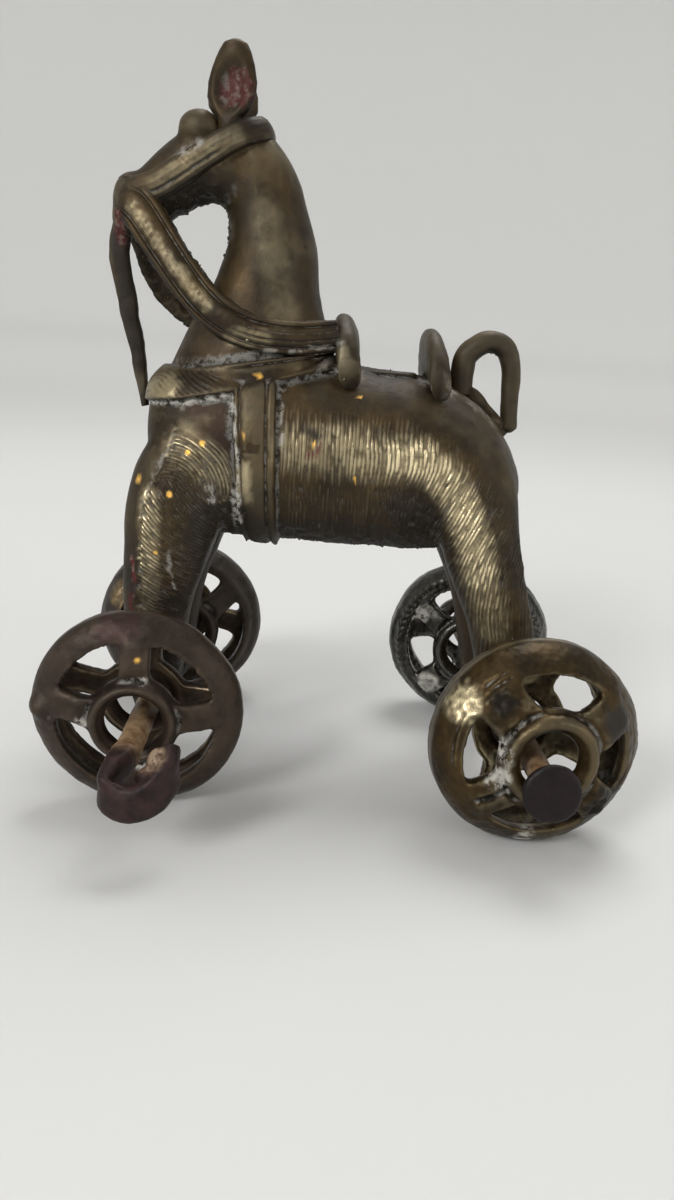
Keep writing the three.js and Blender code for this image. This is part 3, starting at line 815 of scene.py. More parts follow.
def tail():
    """A rolled rod that loops up and back down to the haunch."""
    path = even_path([
        (20.8, 0, 81.5), (21, 0, 86), (21.6, 0, 89.2), (25.2, 0, 91.9), (28.8, 0, 91),
        (30.6, 0, 87.4), (31, 0, 81.5), (31.6, 0, 74.6),
    ], 0.4)
    half = np.linspace(2.5, 1.65, len(path))
    end = np.linspace(0, 1, len(path))
    half = half * np.sqrt(np.clip((1.005 - end) / 0.03, 0.15, 1))
    return roughened(band("tail", path, oval(28), (0, 1, 0), half, half), 0.14, 21)


def croup_strap():
    """From the cantle to the root of the tail."""
    path = even_path([(13, 0, 85), (20, 0, 83.1), (26, 0, 79.2), (30.4, 0, 73.6)], 0.4)
    section = oval(24, 2.4) * (1, 1.5)
    return roughened(band("croup_strap", path, section, (0, 1, 0), 1.4), 0.35, 23)


EAR_HEIGHT = 15.7
EAR_OUTLINE = [  # share of the height and half width
    (0, 1.9), (0.19, 2.2), (0.29, 3.6), (0.41, 4.7), (0.57, 4.75), (0.75, 3.9), (0.88, 3.0),
    (0.96, 2.2), (1.0, 0.9),
]


def ear(side):
    """A broad upright leaf with a rolled edge, hollowed on the side that faces out."""
    turn = math.radians(-14 if side < 0 else 194)
    cos, sin = math.cos(turn), math.sin(turn)
    angle = np.linspace(0, 2 * np.pi, 84, endpoint=False)
    u, v = np.cos(angle), np.sin(angle)
    rings = []
    for a in np.linspace(0.0, 0.996, 60):
        half = height_at(a, EAR_OUTLINE)
        hollow = smoothstep(0.14, 0.42, a) * smoothstep(0.84, 0.56, a)
        rim = plateau(np.abs(u), 0.8, 0.84, 0.05)
        front = 1.75 - hollow * (1.6 * smoothstep(0.84, 0.2, np.abs(u)) + 0.1 * rim)
        depth = np.where(v > 0, -1.9 * v, -v * front) * min(1.0, half / 2.2)
        tilt = math.tan(math.radians(3)) * a * EAR_HEIGHT
        x, y = half * u + tilt, -1.7 - depth
        ring = places(x * cos - y * sin, x * sin + y * cos, a * EAR_HEIGHT)
        rings.append(ring + (-26.5, side * 2.6, 124.6))
    return roughened(loft("ear", rings), 0.1, 25)


SEAT_FLAT = (1.6, 11.0, 85.0)  # front, back and height


def seat_pad():
    """Flattens the back between the pommel and the cantle."""
    front, back, top = SEAT_FLAT
    x, y = (oval(32, 5) * ((back - front) / 2 + 0.6, 6.9)).T
    return loft("seat", [places((front + back) / 2 + x * share, y * share, z)
                         for z, share in ((top - 4, 1.0), (top - 0.3, 1.0), (top, 0.95))])


def nail_cutter(which):
    """What drills the feet for a nail, out past both legs."""
    path = np.array([along_nail(which, y) for y in np.linspace(-25, 25, 12)])
    radius = NAIL_RADIUS + NAIL_PLAY
    return band("cutter", path, oval(28), (0, 0, 1), radius, radius)


def thinned(piece, most):
    """The piece with no more than so many triangles."""
    count = sum(len(face.vertices) - 2 for face in piece.data.polygons)
    return modify(piece, "DECIMATE", ratio=min(1.0, most / count))


def cast_horse(sizes):
    """The horse's body, with its seat flattened and its feet drilled for the nails."""
    horse = bare_horse(sizes)
    work_the_wax(horse, sizes)
    fuse(horse, seat_pad())
    for which in NAILS:
        fuse(horse, nail_cutter(which), "DIFFERENCE")
    return thinned(horse, sizes.faces)


def cast_harness(horse, sizes):
    """What was laid on the wax horse as separate pieces of wax, with the crumbs round it."""
    harness = rein(NEAR_REIN, -1)
    for piece in (
        rein(FAR_REIN, 1), headstall(), hanging_strap(), croup_strap(),
        saddle_arch("pommel", (-1.6, 82.5), (-3.6, 95.4), 15, 5.0),
        saddle_arch("cantle", (15.6, 82), (13.8, 93.8), 15, 4.4), tail(), ear(-1), ear(1),
    ):
        fuse(harness, piece)
    crumbs = [crumbs_on(skin, crumb_amounts(points_of(skin), normals_of(skin)), sizes.crumbs)
              for skin in (horse, harness)]
    return joined("harness", [thinned(harness, sizes.faces * 0.7), *crumbs])


def crumb_amounts(points, normals):
    """Crumbs stick where nobody could reach: under the jaw, inside the reins and in the groins."""
    x, y, z = points.T
    rough = smoothstep(0.3, 0.9, roughness_map(points, normals))
    inside = smoothstep(0.2, 0.7, -normals[:, 1] * np.sign(y)) * plateau(z, 92, 112, 2)
    clear = (z < 128) * (np.abs(lumps(points, 4.0, 41)) > 0.12)
    return np.maximum(rough, 0.8 * inside * (x < -20)) * clear * (z > 24)


# Wheels

WHEELS = {
    # how far the cage bulges, the hub's half length, the hub ring's radius, the heights of the grit
    # and depth of the groove round the ring, and the clock angle and half width of each spoke
    "wheel_front_near": {
        "bulge": 6.6, "hub": 7.2, "ring": 8.3, "grit": 0.05, "groove": 0.2,
        "near": [(0, 2.8), (85, 2.8), (182, 3), (279, 2.8)],
        "far": [(6, 2.6), (85, 2.6), (178, 2.6), (288, 2.6)],
    },
    "wheel_rear_near": {
        "bulge": 11, "hub": 10.9, "ring": 9.2, "grit": 0.09, "groove": 0.45,
        "near": [(-42, 4.4), (56, 4), (130, 3.6), (233, 3.6)],
        "far": [(20, 2.6), (110, 2.6), (200, 2.6), (290, 2.6)],
    },
    "wheel_front_far": {
        "bulge": 11, "hub": 10.4, "ring": 8.5, "grit": 0.05, "groove": 0.45,
        "near": [(50, 2.8), (140, 2.8), (230, 2.8), (320, 2.8)],
        "far": [(10, 2.8), (100, 2.8), (190, 2.8), (280, 2.8)],
    },
    "wheel_rear_far": {
        "bulge": 11, "hub": 10.4, "ring": 8.5, "grit": 0.09, "groove": 0.45,
        "near": [(-53, 2.7), (40, 2.8), (132, 2.8), (222, 3)],
        "far": [(0, 2.8), (90, 2.8), (180, 2.8), (270, 2.8)],
    },
}
WHEEL_RADIUS = 20.0
WHEEL_WALL = 2.6
BORE_RADIUS = 5.3
BORE_EDGE = (7.2, 6.0)  # radii between which the skin's roughness gives way to the clean bore
WINDOW_RADIUS = 15.2
WINDOW_DEPTHS = {"near": (-14, -1.6), "far": (1.6, 14)}


def wheel_shell(name, spec):
    """A hollow cage turned about its own axle line, with a rolled hub ring on each face."""
    bulge, hub, ring = spec["bulge"], spec["hub"], spec["ring"]
    inner_radius = WHEEL_RADIUS - WHEEL_WALL
    inner = [(inner_radius * math.sin(t), (bulge - WHEEL_WALL) * math.cos(t))
             for t in np.linspace(math.pi / 2, math.asin(7.2 / inner_radius), 12)]
    middle, roll = (BORE_RADIUS + ring) / 2, (ring - BORE_RADIUS) / 2
    lip = [(middle - roll * math.cos(a), hub - roll + roll * math.sin(a))
           for a in np.linspace(-0.15, 1.0, 9) * math.pi]
    outer = [(WHEEL_RADIUS * math.sin(t), bulge * math.cos(t))
             for t in np.linspace(math.asin((ring + 0.3) / WHEEL_RADIUS), math.pi / 2, 22)]
    half = np.vstack([inner, [(BORE_RADIUS, hub - 3)], lip, outer])
    mirrored = half[::-1] * (1, -1)
    outline = np.vstack([half, mirrored[1:-1]])
    r, w = outline.T
    return loft(name, [places(r * math.sin(a), w, r * math.cos(a))
                       for a in np.linspace(0, 2 * np.pi, 120, endpoint=False)], closed=True)


def softened(outline, count, rounds):
    """A flat closed outline with its corners worn round."""
    flat = evenly_along(np.vstack([outline, outline[:1]]), count, endpoint=False)
    for _ in range(rounds):
        flat = (np.roll(flat, 1, axis=0) + 2 * flat + np.roll(flat, -1, axis=0)) / 4
    return flat


def clock_place(angle, radius):
    """A place on a wheel's face, with its angle told from the top."""
    return radius * math.sin(angle), radius * math.cos(angle)


def window(spoke, after, inner, low, high):
    """The opening between two spokes of one face, as a solid to cut with."""
    def edge(radius, share):
        start = math.radians(spoke[0]) + math.asin(spoke[1] / radius)
        end = math.radians(after[0]) - math.asin(after[1] / radius)
        return start + (end - start) * share
    corners = [(inner, s) for s in np.linspace(1, 0, 8)]
    corners += [(r, 0) for r in np.linspace(inner, WINDOW_RADIUS, 8)[1:-1]]
    corners += [(WINDOW_RADIUS, s) for s in np.linspace(0.0, 1.0, 14)]
    corners += [(r, 1) for r in np.linspace(WINDOW_RADIUS, inner, 8)[1:-1]]
    x, z = softened([clock_place(edge(r, s), r) for r, s in corners], 90, 10).T
    return loft("window", [places(x, y, z) for y in np.linspace(low, high, 4)])


def along_spoke(points, clock, half, ends=1.0):
    """1 along the middle line of a spoke, fading over its half width and at both ends."""
    x, y, z = points.T
    angle = math.radians(clock)
    out = x * math.sin(angle) + z * math.cos(angle)
    aside = np.abs(x * math.cos(angle) - z * math.sin(angle))
    return smoothstep(half, half * 0.3, aside) * plateau(out, 8.5 + ends, 15, ends) * (y < 0)


def dome_height(radius, bulge, reach):
    """How far from its middle plane a cage stands at some distance from its axle."""
    return bulge * np.sqrt(np.clip(1 - (radius / reach) ** 2, 0, 1))


def wheel_skin(name, points):
    """Each wheel's own surface, in the wheel's frame with its axle along y."""
    x, y, z = points.T
    radius, clock = np.hypot(x, z), np.arctan2(x, z)
    seed, spec = 40 + 10 * list(WHEELS).index(name), WHEELS[name]
    outside = smoothstep(-1.2, -0.5, np.abs(y) - dome_height(radius, spec["bulge"], WHEEL_RADIUS))
    rim = plateau(radius, 15.6, 19.9, 0.6) * outside
    rise = layered(points, (
        (0.28, 7, seed), (0.1, 2.4, seed + 1), (spec["grit"], 0.9, seed + 2)), start=0.1)
    for middle, half in spec["near"]:
        rise += 0.45 * along_spoke(points, middle, half * 1.15, 2.5)
    from_ring = radius - spec["ring"]
    rise += 0.5 * smoothstep(1.7, 0, np.abs(from_ring + 1.6)) * outside
    rise -= spec["groove"] * smoothstep(0.9, 0, np.abs(from_ring - 0.3)) * outside
    if name == "wheel_rear_near":
        threads = waves(radius - 0.8 * np.abs(y) + 0.3 * np.sin(3 * clock), 1.7)
        sides = smoothstep(0.3, 0.75, np.abs(np.sin(clock - 0.25)))
        sides *= smoothstep(-0.3, 0.4, lumps(points, 5, 77))
        rise += 0.17 * threads * plateau(radius, 15.9, 17.4, 0.7) * outside * sides
        rise += lump_at(points, 130, 13.5, -8.5, 4.5) * (0.7 + 1.0 * lumps(points, 1.3, 79))
        rise -= 0.8 * along_spoke(points, 233, 0.9)
        rise += 0.4 * along_spoke(points, 318, 5) * lumps(points, 1.1, 80)
    if name == "wheel_rear_far":
        rope = waves(radius + 0.4 * np.abs(y), 1.5)
        rise += (0.24 * rope + 0.2 * np.cos(clock * 62) * (rope > 0)) * rim * (y < 0)
    if name == "wheel_front_near":
        rise += 1.7 * lump_at(points, 272, 18.6, -3.6, 3.6)
        rise += 0.5 * lump_at(points, 262, 14.5, -5, 3.0) * lumps(points, 1.0, 81)
    if name == "wheel_front_far":
        rise += 0.14 * waves(radius + clock * 0.8, 3.4) * rim
    bore = smoothstep(*BORE_EDGE, radius)
    return rise * (1 - bore) - 0.15 * bore


def lump_at(points, clock, radius, y, size):
    """1 at a place on a wheel, fading to 0 at its size in millimetres."""
    x, z = clock_place(math.radians(clock), radius)
    return smoothstep(size, 0, np.linalg.norm(points - (x, y, z), axis=1))


def wheel_turn(name):
    """The turn and the place that put a wheel on its own joint."""
    joint = WHEEL_SEATS[name]
    axle = Vector(joint["axis"]).normalized()
    up = (Vector((0, 0, 1)) - axle * axle.z).normalized()
    turn = np.array([axle.cross(up), axle, up]).T
    return turn, np.array(joint["pos_m"]) / MM - HORSE_MIDDLE


def cage_wheel(name, sizes):
    """A wheel with its windows cut, its skin and marks, set on its own joint."""
    spec = WHEELS[name]
    wheel = wheel_shell(name, spec)
    for face, depths in WINDOW_DEPTHS.items():
        spokes = spec[face]
        first_again = (spokes[0][0] + 360, spokes[0][1])
        for spoke, after in zip(spokes, [*spokes[1:], first_again]):
            fuse(wheel, window(spoke, after, spec["ring"] + 0.4, *depths), "DIFFERENCE")
    remeshed(wheel, sizes.wheel_grain, 11)
    points = points_of(wheel)
    points += normals_of(wheel) * wheel_skin(name, points)[:, None]
    radius = np.maximum(np.hypot(points[:, 0], points[:, 2]), 1e-6)
    points[:, ::2] *= np.minimum(1, (WHEEL_RADIUS - 0.02) / radius)[:, None]
    set_points(wheel, points)
    marks = {note: np.zeros(len(points)) for note in MARKS}
    for note, clock, out, y, size in WHEEL_MARKS[name]:
        away = lump_at(points, clock, out, y, size) * (0.75 + 0.5 * lumps(points, 1.2, 83))
        marks[note] = np.maximum(marks[note], smoothstep(0.1, 0.45, away))
    marks["wear_and_highlight"] = np.maximum(marks["wear_and_highlight"], inside_glow(points, spec))
    store_marks(wheel, marks)
    turn, middle = wheel_turn(name)
    set_points(wheel, points @ turn.T + middle)
    return wheel


def inside_glow(points, spec):
    """The cages' inner faces were never handled and keep a warm brass colour."""
    x, y, z = points.T
    radius = np.hypot(x, z)
    dome = dome_height(radius, spec["bulge"] - WHEEL_WALL, WHEEL_RADIUS - 2)
    return 0.3 * smoothstep(0.9, 0.0, np.abs(y) - dome) * (radius > BORE_RADIUS + 1)


WHEEL_MARKS = {  # the mark, its clock angle, its distance from the middle, its y and its size
    # The pale spots where the spokes meet the hub ring are painted glints, laid in the dust colour.
    "wheel_front_near": [
        ("dust_and_glint", 12, 9, -6.5, 2.0), ("dust_and_glint", 170, 9, -6.5, 2.2), ("dust_and_glint", 268, 9.5, -6.5, 2.0),
        ("gold", 4, 12.4, -5.4, 1.1), ("plum", 350, 18, -2, 7), ("dust_and_glint", 268, 18, -5.5, 1.4),
    ],
    "wheel_rear_near": [
        ("dust_and_glint", 280, 9.8, -9.6, 4.8), ("dust_and_glint", 252, 9.8, -9.4, 4.2), ("dust_and_glint", 185, 16.5, -5, 3.4),
        ("crust", 130, 13.5, -8.5, 5.5), ("crust", 233, 12.5, -8.4, 1.6),
        ("crust", 318, 14, -8, 4.5), ("wear_and_highlight", 300, 18, -4, 6), ("soot_and_shade", 130, 18, -3, 12),
        ("soot_and_shade", 60, 14, -8, 6),
    ],
    "wheel_front_far": [("wear_and_highlight", 300, 17, -6, 6)],
    "wheel_rear_far": [
        ("wear_and_highlight", 0, 17, -6, 9), ("wear_and_highlight", 222, 13, -8, 5), ("dust_and_glint", 120, 14, -7, 5),
        ("dust_and_glint", 300, 14, -7, 4),
    ],
}


# Nails

def shank(which, start, stop):
    """The straight part of a nail between two distances from the horse's middle plane."""
    path = np.array([along_nail(which, y) for y in np.arange(start, stop, 0.5)])
    return band("shank", path, oval(24), (0, 0, 1), NAIL_RADIUS, NAIL_RADIUS)


def nail_head(which, y, side, tilt=0.0):
    """A hammered round head, a little domed, with its edge turned."""
    middle = along_nail(which, y)
    profile = [(0, 2.2), (0.02, 3.6), (0.05, 4.7), (0.55, 5.1), (1.2, 5.2), (1.55, 5.0), (1.8, 4.4),
               (1.9, 3.0), (1.92, 1.4)]
    u, v = oval(56).T
    cos, sin = math.cos(math.radians(tilt)), math.sin(math.radians(tilt))
    return loft("nail_head", [
        places(middle[0] + r * u, y + side * out * cos - r * v * sin,
               middle[2] + r * v * cos + side * out * sin)
        for out, r in between(profile, 3)])


def front_nail():
    """Its near end is beaten flat and turned back on itself in a hook."""
    nail = shank("front", -44.4, 46.2)
    x, y, z = along_nail("front", -44)
    path = even_path([
        (x, y + 1, z), (x - 1.2, y - 3.6, z - 1.4), (x - 1.6, y - 6.6, z - 3.6),
        (x + 1.6, y - 8.2, z - 4.9), (x + 5.6, y - 7.4, z - 3.9), (x + 8.2, y - 4.6, z - 0.9),
        (x + 8.2, y - 1.4, z + 2.4),
    ], 0.36)
    beaten = smoothstep(0.02, 0.3, np.linspace(0, 1, len(path)))
    hook = band("hook", path, oval(32, 3), (0, 0.12, 1), NAIL_RADIUS + 0.8 * beaten,
                NAIL_RADIUS - 0.95 * beaten)
    flaps = [egg("flap", (x + 4.7, y - 5.0, z - 2.3), (2.1, 2.4, 2.8)),
             egg("flap", (x + 6.3, y - 3.5, z + 0.5), (2.0, 2.3, 2.9))]
    return finish_nail("axle_front", [nail, hook, *flaps, nail_head("front", 45.6, 1)])


def rear_nail():
    """Its far end is bent upwards so that it can't slide out."""
    nail = shank("rear", -46.4, 43.2)
    x, y, z = along_nail("rear", 42.5)
    path = even_path([
        (x, y - 1, z), (x, y + 0.4, z + 0.1), (x, y + 2.6, z + 0.8), (x + 0.4, y + 4.4, z + 4),
        (x + 0.6, y + 4.6, z + 7),
    ], 0.4)
    size = NAIL_RADIUS * np.linspace(1, 0.8, len(path))
    bend = band("bend", path, oval(24), (1, 0, 0), size, size)
    return finish_nail("axle_rear", [nail, bend, nail_head("rear", -46.2, -1, tilt=-9)])


def finish_nail(name, parts):
    """Runs a nail's parts together, hammers its skin and notes where its hook is folded."""
    nail = remeshed(joined(name, parts), NAIL_GRAIN, 3)
    points = points_of(nail)
    y = points[:, 1]
    rise = layered(points, ((0.1, 2.2, 91), (0.05, 0.8, 92)))
    rise -= 0.06 * smoothstep(44, 40, np.abs(y))
    rise += 0.06 * waves(y, 1.1) * plateau(y, -45, -40, 1)
    points = points_of(push_out(nail, rise))
    fold = along_nail("front", -44) + (5.6, -3.9, 1.0)
    set_values(nail, "fold", smoothstep(3.7, 2.2, np.linalg.norm(points - fold, axis=1)))
    set_values(nail, "soot_and_shade", smoothstep(-45.2, -46.2, points[:, 1]) * (points[:, 0] > 0))
    return nail


# Marks on the surface that the finishes read

def hollows(obj, rounds):
    """How far each point lies under, or over, the smoothed surface round it, in millimetres."""
    mesh = obj.data
    edges = np.empty(len(mesh.edges) * 2, np.int32)
    mesh.edges.foreach_get("vertices", edges)
    a, b = edges.reshape(-1, 2).T
    count = len(mesh.vertices)
    ends, others = np.concatenate([a, b]), np.concatenate([b, a])
    degree = np.maximum(np.bincount(ends, minlength=count), 1)
    points = points_of(obj)
    soft = points.copy()
    for _ in range(rounds):
        around = [np.bincount(ends, soft[others, i], count) / degree for i in range(3)]
        soft = np.stack(around, axis=1)
    return ((soft - points) * normals_of(obj)).sum(axis=1)


# The soot mark also carries painted shade, the worn mark painted highlights and the dust mark
# painted glints.
MARKS = ("crust", "dust_and_glint", "wear_and_highlight", "plum", "soot_and_shade", "gold", "red")


def store_marks(obj, marks):
    """Keeps what the finishes read: how deep each point lies, and where each mark is."""
    set_values(obj, "hollow", np.clip(hollows(obj, 10) / 0.3, -1, 1))
    for note in MARKS:
        set_values(obj, note, marks[note])


# Each line runs along the side of the horse, as rows of x and z, with its width and its strength
# Rubbed brass, and painted highlight: the bands along the middle of the flank, round the haunch,
# down the legs and down the neck also stand in for the lights shining on the bronze.
WEAR_AND_HIGHLIGHT_LINES = [
    ([(-11, 70), (2, 70.4)], 6, 0.25), ([(0, 69.4), (9.1, 69.4), (12.8, 69.6)], 5.5, 0.42),
    ([(8, 69.6), (12.8, 69.4), (17.2, 66.5), (19.6, 63.5), (22, 59.6), (24, 55), (26, 48)],
     4.6, 1.0),
    ([(25, 50), (30, 38)], 4.5, 0.4), ([(-32, 69), (-27, 66), (-25, 62)], 5, 0.35),
    ([(-38.2, 59), (-38.2, 45)], 2.8, 0.5), ([(-38, 45), (-38, 24)], 2.8, 0.2),
    ([(-19.5, 112), (-17, 102), (-15, 94)], 4, 0.15), ([(-40, 115), (-25, 124)], 2.6, 0.2),
    ([(-44, 111), (-36, 102), (-29, 94.8)], 1.8, 0.28), ([(-44, 79), (-36, 80)], 3.4, 0.3),
    ([(-24, 89.5), (-18, 89.6)], 2.2, 0.3), ([(-20.5, 66), (-20, 60)], 1.6, 0.4),
    ([(-3.4, 88), (-3.2, 84)], 1.6, 0.3),
]
# Pale dust in the corners, with painted glints among it.
DUST_AND_GLINT_LINES = [
    ([(-23.2, 79.0), (-21.8, 66.7), (-21.2, 55)], 0.6, 1.0),
    ([(-14.7, 81.2), (-13.4, 68)], 0.55, 0.6), ([(-46, 75.8), (-33, 76.8), (-24, 78.8)], 0.5, 0.9),
    ([(-22.2, 61.5), (-22, 54)], 1.0, 0.8), ([(-13, 87.6), (-4, 89.4)], 0.7, 0.45),
    ([(-7, 84.4), (0, 84.4)], 1.2, 0.6), ([(12, 83.6), (19, 82)], 1.1, 0.5),
    ([(-27.3, 61.4), (-26.6, 58.7)], 1.0, 0.8),
    ([(-33.9, 49.4), (-34.3, 45.8), (-33.1, 41.3)], 0.55, 0.45),
    ([(-35, 121), (-32, 122.6)], 1.4, 0.6), ([(-40, 84.6), (-30, 84.4), (-16, 87.6)], 0.6, 0.4),
    # A painted glint along the edge of the foreleg's front strip, laid in the dust colour.
    ([(-34, 71), (-38, 62), (-39.8, 56)], 0.5, 0.35), ([(22, 80.5), (31, 74.5)], 0.8, 0.35),
]
PLUM_LINES = [
    ([(-29, 76), (-26, 72), (-24.6, 68)], 4.6, 0.9), ([(-36, 61), (-39.2, 58.6)], 2.6, 0.9),
    ([(-9.3, 73.9), (-6.7, 72.5)], 1.8, 0.9), ([(-37, 45), (-37, 30)], 4.0, 0.5),
    ([(-30, 86), (-20, 94)], 5, 0.4),
]
# Painted shade for the most part: these lines darken the belly, groin and legs, the front of the
# foreleg, the neck, head and ears, the pommel, cantle, back, tail and hanging strap as if they lay
# in shadow; the tail and the back are dark bronze as well.
SOOT_AND_SHADE_LINES = [
    ([(-47.6, 106), (-46, 94), (-42.7, 75)], 3.6, 1.0), ([(9, 60), (14, 57)], 5.5, 0.9),
    ([(21, 84), (21.6, 89.4), (25.2, 92), (28.8, 91), (31, 82), (31.6, 75)], 3.2, 0.7),
    ([(-13, 52.5), (14, 52.5)], 6.5, 0.85), ([(20, 50), (29, 25)], 4.5, 0.7),
    ([(-27, 60), (-30, 46), (-32.5, 24)], 5, 0.8), ([(-12, 118), (-5, 92)], 4.5, 0.5),
    ([(30, 68), (35, 50), (39, 34)], 4.5, 0.55),
    ([(-7, 80.5), (10, 80.5), (22, 76.5), (29, 67)], 5, 0.55), ([(-2, 86), (11, 86)], 3.5, 0.6),
    ([(-33, 126), (-26, 126)], 4, 0.45), ([(-43, 84), (-27, 90)], 4, 0.3),
    ([(-9.3, 73.9), (-7.2, 72.7)], 1.3, 1.0), ([(-46, 116), (-26, 128)], 3.4, 0.35),
    ([(-21, 114), (-13, 92)], 8, 0.45), ([(36, 32), (38, 14)], 4.5, 0.6),
    ([(-36, 38), (-36, 14)], 6, 0.6), ([(-3.4, 97), (-3.4, 86)], 3.6, 0.75),
    ([(14, 95), (15, 84)], 3.4, 0.7), ([(-27, 138), (-25, 126)], 5, 0.4),
    ([(-41, 73), (-42.4, 58), (-42.6, 44), (-42, 14)], 3.2, 0.75),
]
GOLD_SPOTS = [  # x, z and radius
    (-18.5, 82.4, 0.5), (-20.3, 79.2, 0.5), (-18.6, 79.7, 0.4), (-20.2, 75.2, 0.5),
    (-20.8, 72.3, 0.4), (-28.6, 69.9, 0.65), (-31.4, 68.0, 0.6), (-34.4, 60.0, 0.75),
    (-36.8, 48.6, 0.45), (-40.8, 62.0, 0.5), (-41.1, 54.4, 0.35), (-5.3, 79.5, 0.35),
    (0.6, 80.2, 0.35), (0.5, 65.3, 0.35), (-7.6, 71.2, 0.3),
]
RED_LINES = [
    ([(-6.5, 71.3), (-6.9, 69.4), (-9.1, 69.3)], 0.5, 1.0),
    ([(-42.0, 47.3), (-41.1, 42.4)], 0.5, 1.0), ([(-41.7, 39.6), (-41.9, 35.9)], 0.6, 1.0),
    ([(-47.2, 110), (-47.4, 106)], 1.6, 0.7),
]


def horse_marks(obj):
    """Draws every line of wear, dust, soot and paint on the horse, with ragged edges, and adds
    painted shade under the horse; the soot lines are mostly painted shade, the wear lines partly
    painted highlights and some dust lines painted glints.
    """
    points, normals = points_of(obj), normals_of(obj)
    x, y, z = points.T
    near = y < 0
    outer = np.abs(y) > 5
    ragged = 0.5 * lumps(points, 1.1, 31)

    def drawn(lines):
        total = np.zeros(len(points))
        for line, width, strength in lines:
            near_it = near_line(x + ragged, z + ragged, line, width, 0.3)
            total = np.maximum(total, strength * near_it)
        return total

    gold = np.zeros(len(points))
    for gold_x, gold_z, size in GOLD_SPOTS:
        gold = np.maximum(gold, near_line(x + 0.4 * ragged, z, [(gold_x, gold_z)], size, 0.7))
    ear_paint = smoothstep(1.0, 0.6, np.hypot((x + 25.6) / 3.6, (z - 132.2) / 3.9) + 0.5 * ragged)
    rough = roughness_map(points, normals)
    # Painted shade: faces that look down, and the belly between the legs, are darkened as if in
    # shadow.
    painted_underside_shade = smoothstep(0.1, -0.6, normals[:, 2]) * (z > 44)
    painted_underside_shade = np.maximum(painted_underside_shade, smoothstep(8, 5, np.abs(y)) * smoothstep(60, 50, z))
    store_marks(obj, {
        "crust": rough, "dust_and_glint": drawn(DUST_AND_GLINT_LINES) * outer, "wear_and_highlight": drawn(WEAR_AND_HIGHLIGHT_LINES),
        "plum": drawn(PLUM_LINES) * outer, "soot_and_shade": np.maximum(drawn(SOOT_AND_SHADE_LINES), 0.9 * painted_underside_shade),
        "gold": gold * near * (np.abs(y) > 8),
        "red": np.maximum(drawn(RED_LINES), 0.65 * ear_paint) * near,
    })


# Finishes

class FinishWiring(Wiring):
    """A material's nodes, which read places in millimetres."""

    def __init__(self, name):
        self.material = bpy.data.materials.new(name)
        self.material.use_nodes = True
        super().__init__(self.material.node_tree)
        self.tree.nodes.clear()
        self.shader = self.add("ShaderNodeBsdfPrincipled")
        self.add("ShaderNodeOutputMaterial", {"Surface": self.shader.outputs["BSDF"]})
        local = self.add("ShaderNodeTexCoord").outputs["Object"]
        scale = self.add("ShaderNodeMapping", {"Vector": local, "Scale": (1 / MM,) * 3})
        self.place = scale.outputs["Vector"]

    def attribute(self, name):
        return self.add("ShaderNodeAttribute", attribute_name=name).outputs["Fac"]

    def noise(self, size, detail=3.0, roughness=0.55):
        """Noise from 0 to 1 with lumps about size millimetres across."""
        node = self.add("ShaderNodeTexNoise", {
            "Vector": self.place, "Scale": 1 / size, "Detail": detail, "Roughness": roughness,
        })
        return node.outputs["Fac"]

    def spread(self, value, low, high, to_low=0.0, to_high=1.0):
        node = self.add("ShaderNodeMapRange", {
            "Value": value, "From Min": low, "From Max": high, "To Min": to_low, "To Max": to_high,
        }, interpolation_type="SMOOTHSTEP")
        return node.outputs["Result"]

    def times(self, a, b):
        return self.math("MULTIPLY", a, b)

    def blend(self, share, first, second):
        node = self.add(
            "ShaderNodeMix", {"Factor": share, "A": first, "B": second}, data_type="RGBA")
        return node.outputs["Result"]

    def bump(self, height, distance, strength, under=None):
        node = self.add("ShaderNodeBump", {
            "Height": height, "Distance": distance * MM, "Strength": strength,
        })
        if under is not None:
            self.link(under, node.inputs["Normal"])
        return node.outputs["Normal"]

    def surface(self, **inputs):
        """Sets the shader's inputs, whose names are given with _ for a space."""
        for name, source in inputs.items():
            self.link(source, self.shader.inputs[name.replace("_", " ")])
        return self.material


RED_PAINT, PINK_PAINT = (0.10, 0.012, 0.014, 1.0), (0.22, 0.14, 0.12, 1.0)
GOLD_FLECK = (0.80, 0.46, 0.10, 1.0)
IRON_COLOURS = {  # the darker and the paler of each
    "rust": ((0.16, 0.085, 0.04), (0.30, 0.20, 0.11)),
    "maroon": ((0.010, 0.0045, 0.005), (0.036, 0.016, 0.014)),
    "buff": ((0.10, 0.055, 0.035), (0.36, 0.26, 0.17)),
}
IRON_SOOT = (0.003, 0.0015, 0.002)


def opaque(colour, share=1.0):
    """A darker share of a colour, as a shader takes it."""
    return (*(part * share for part in colour), 1.0)


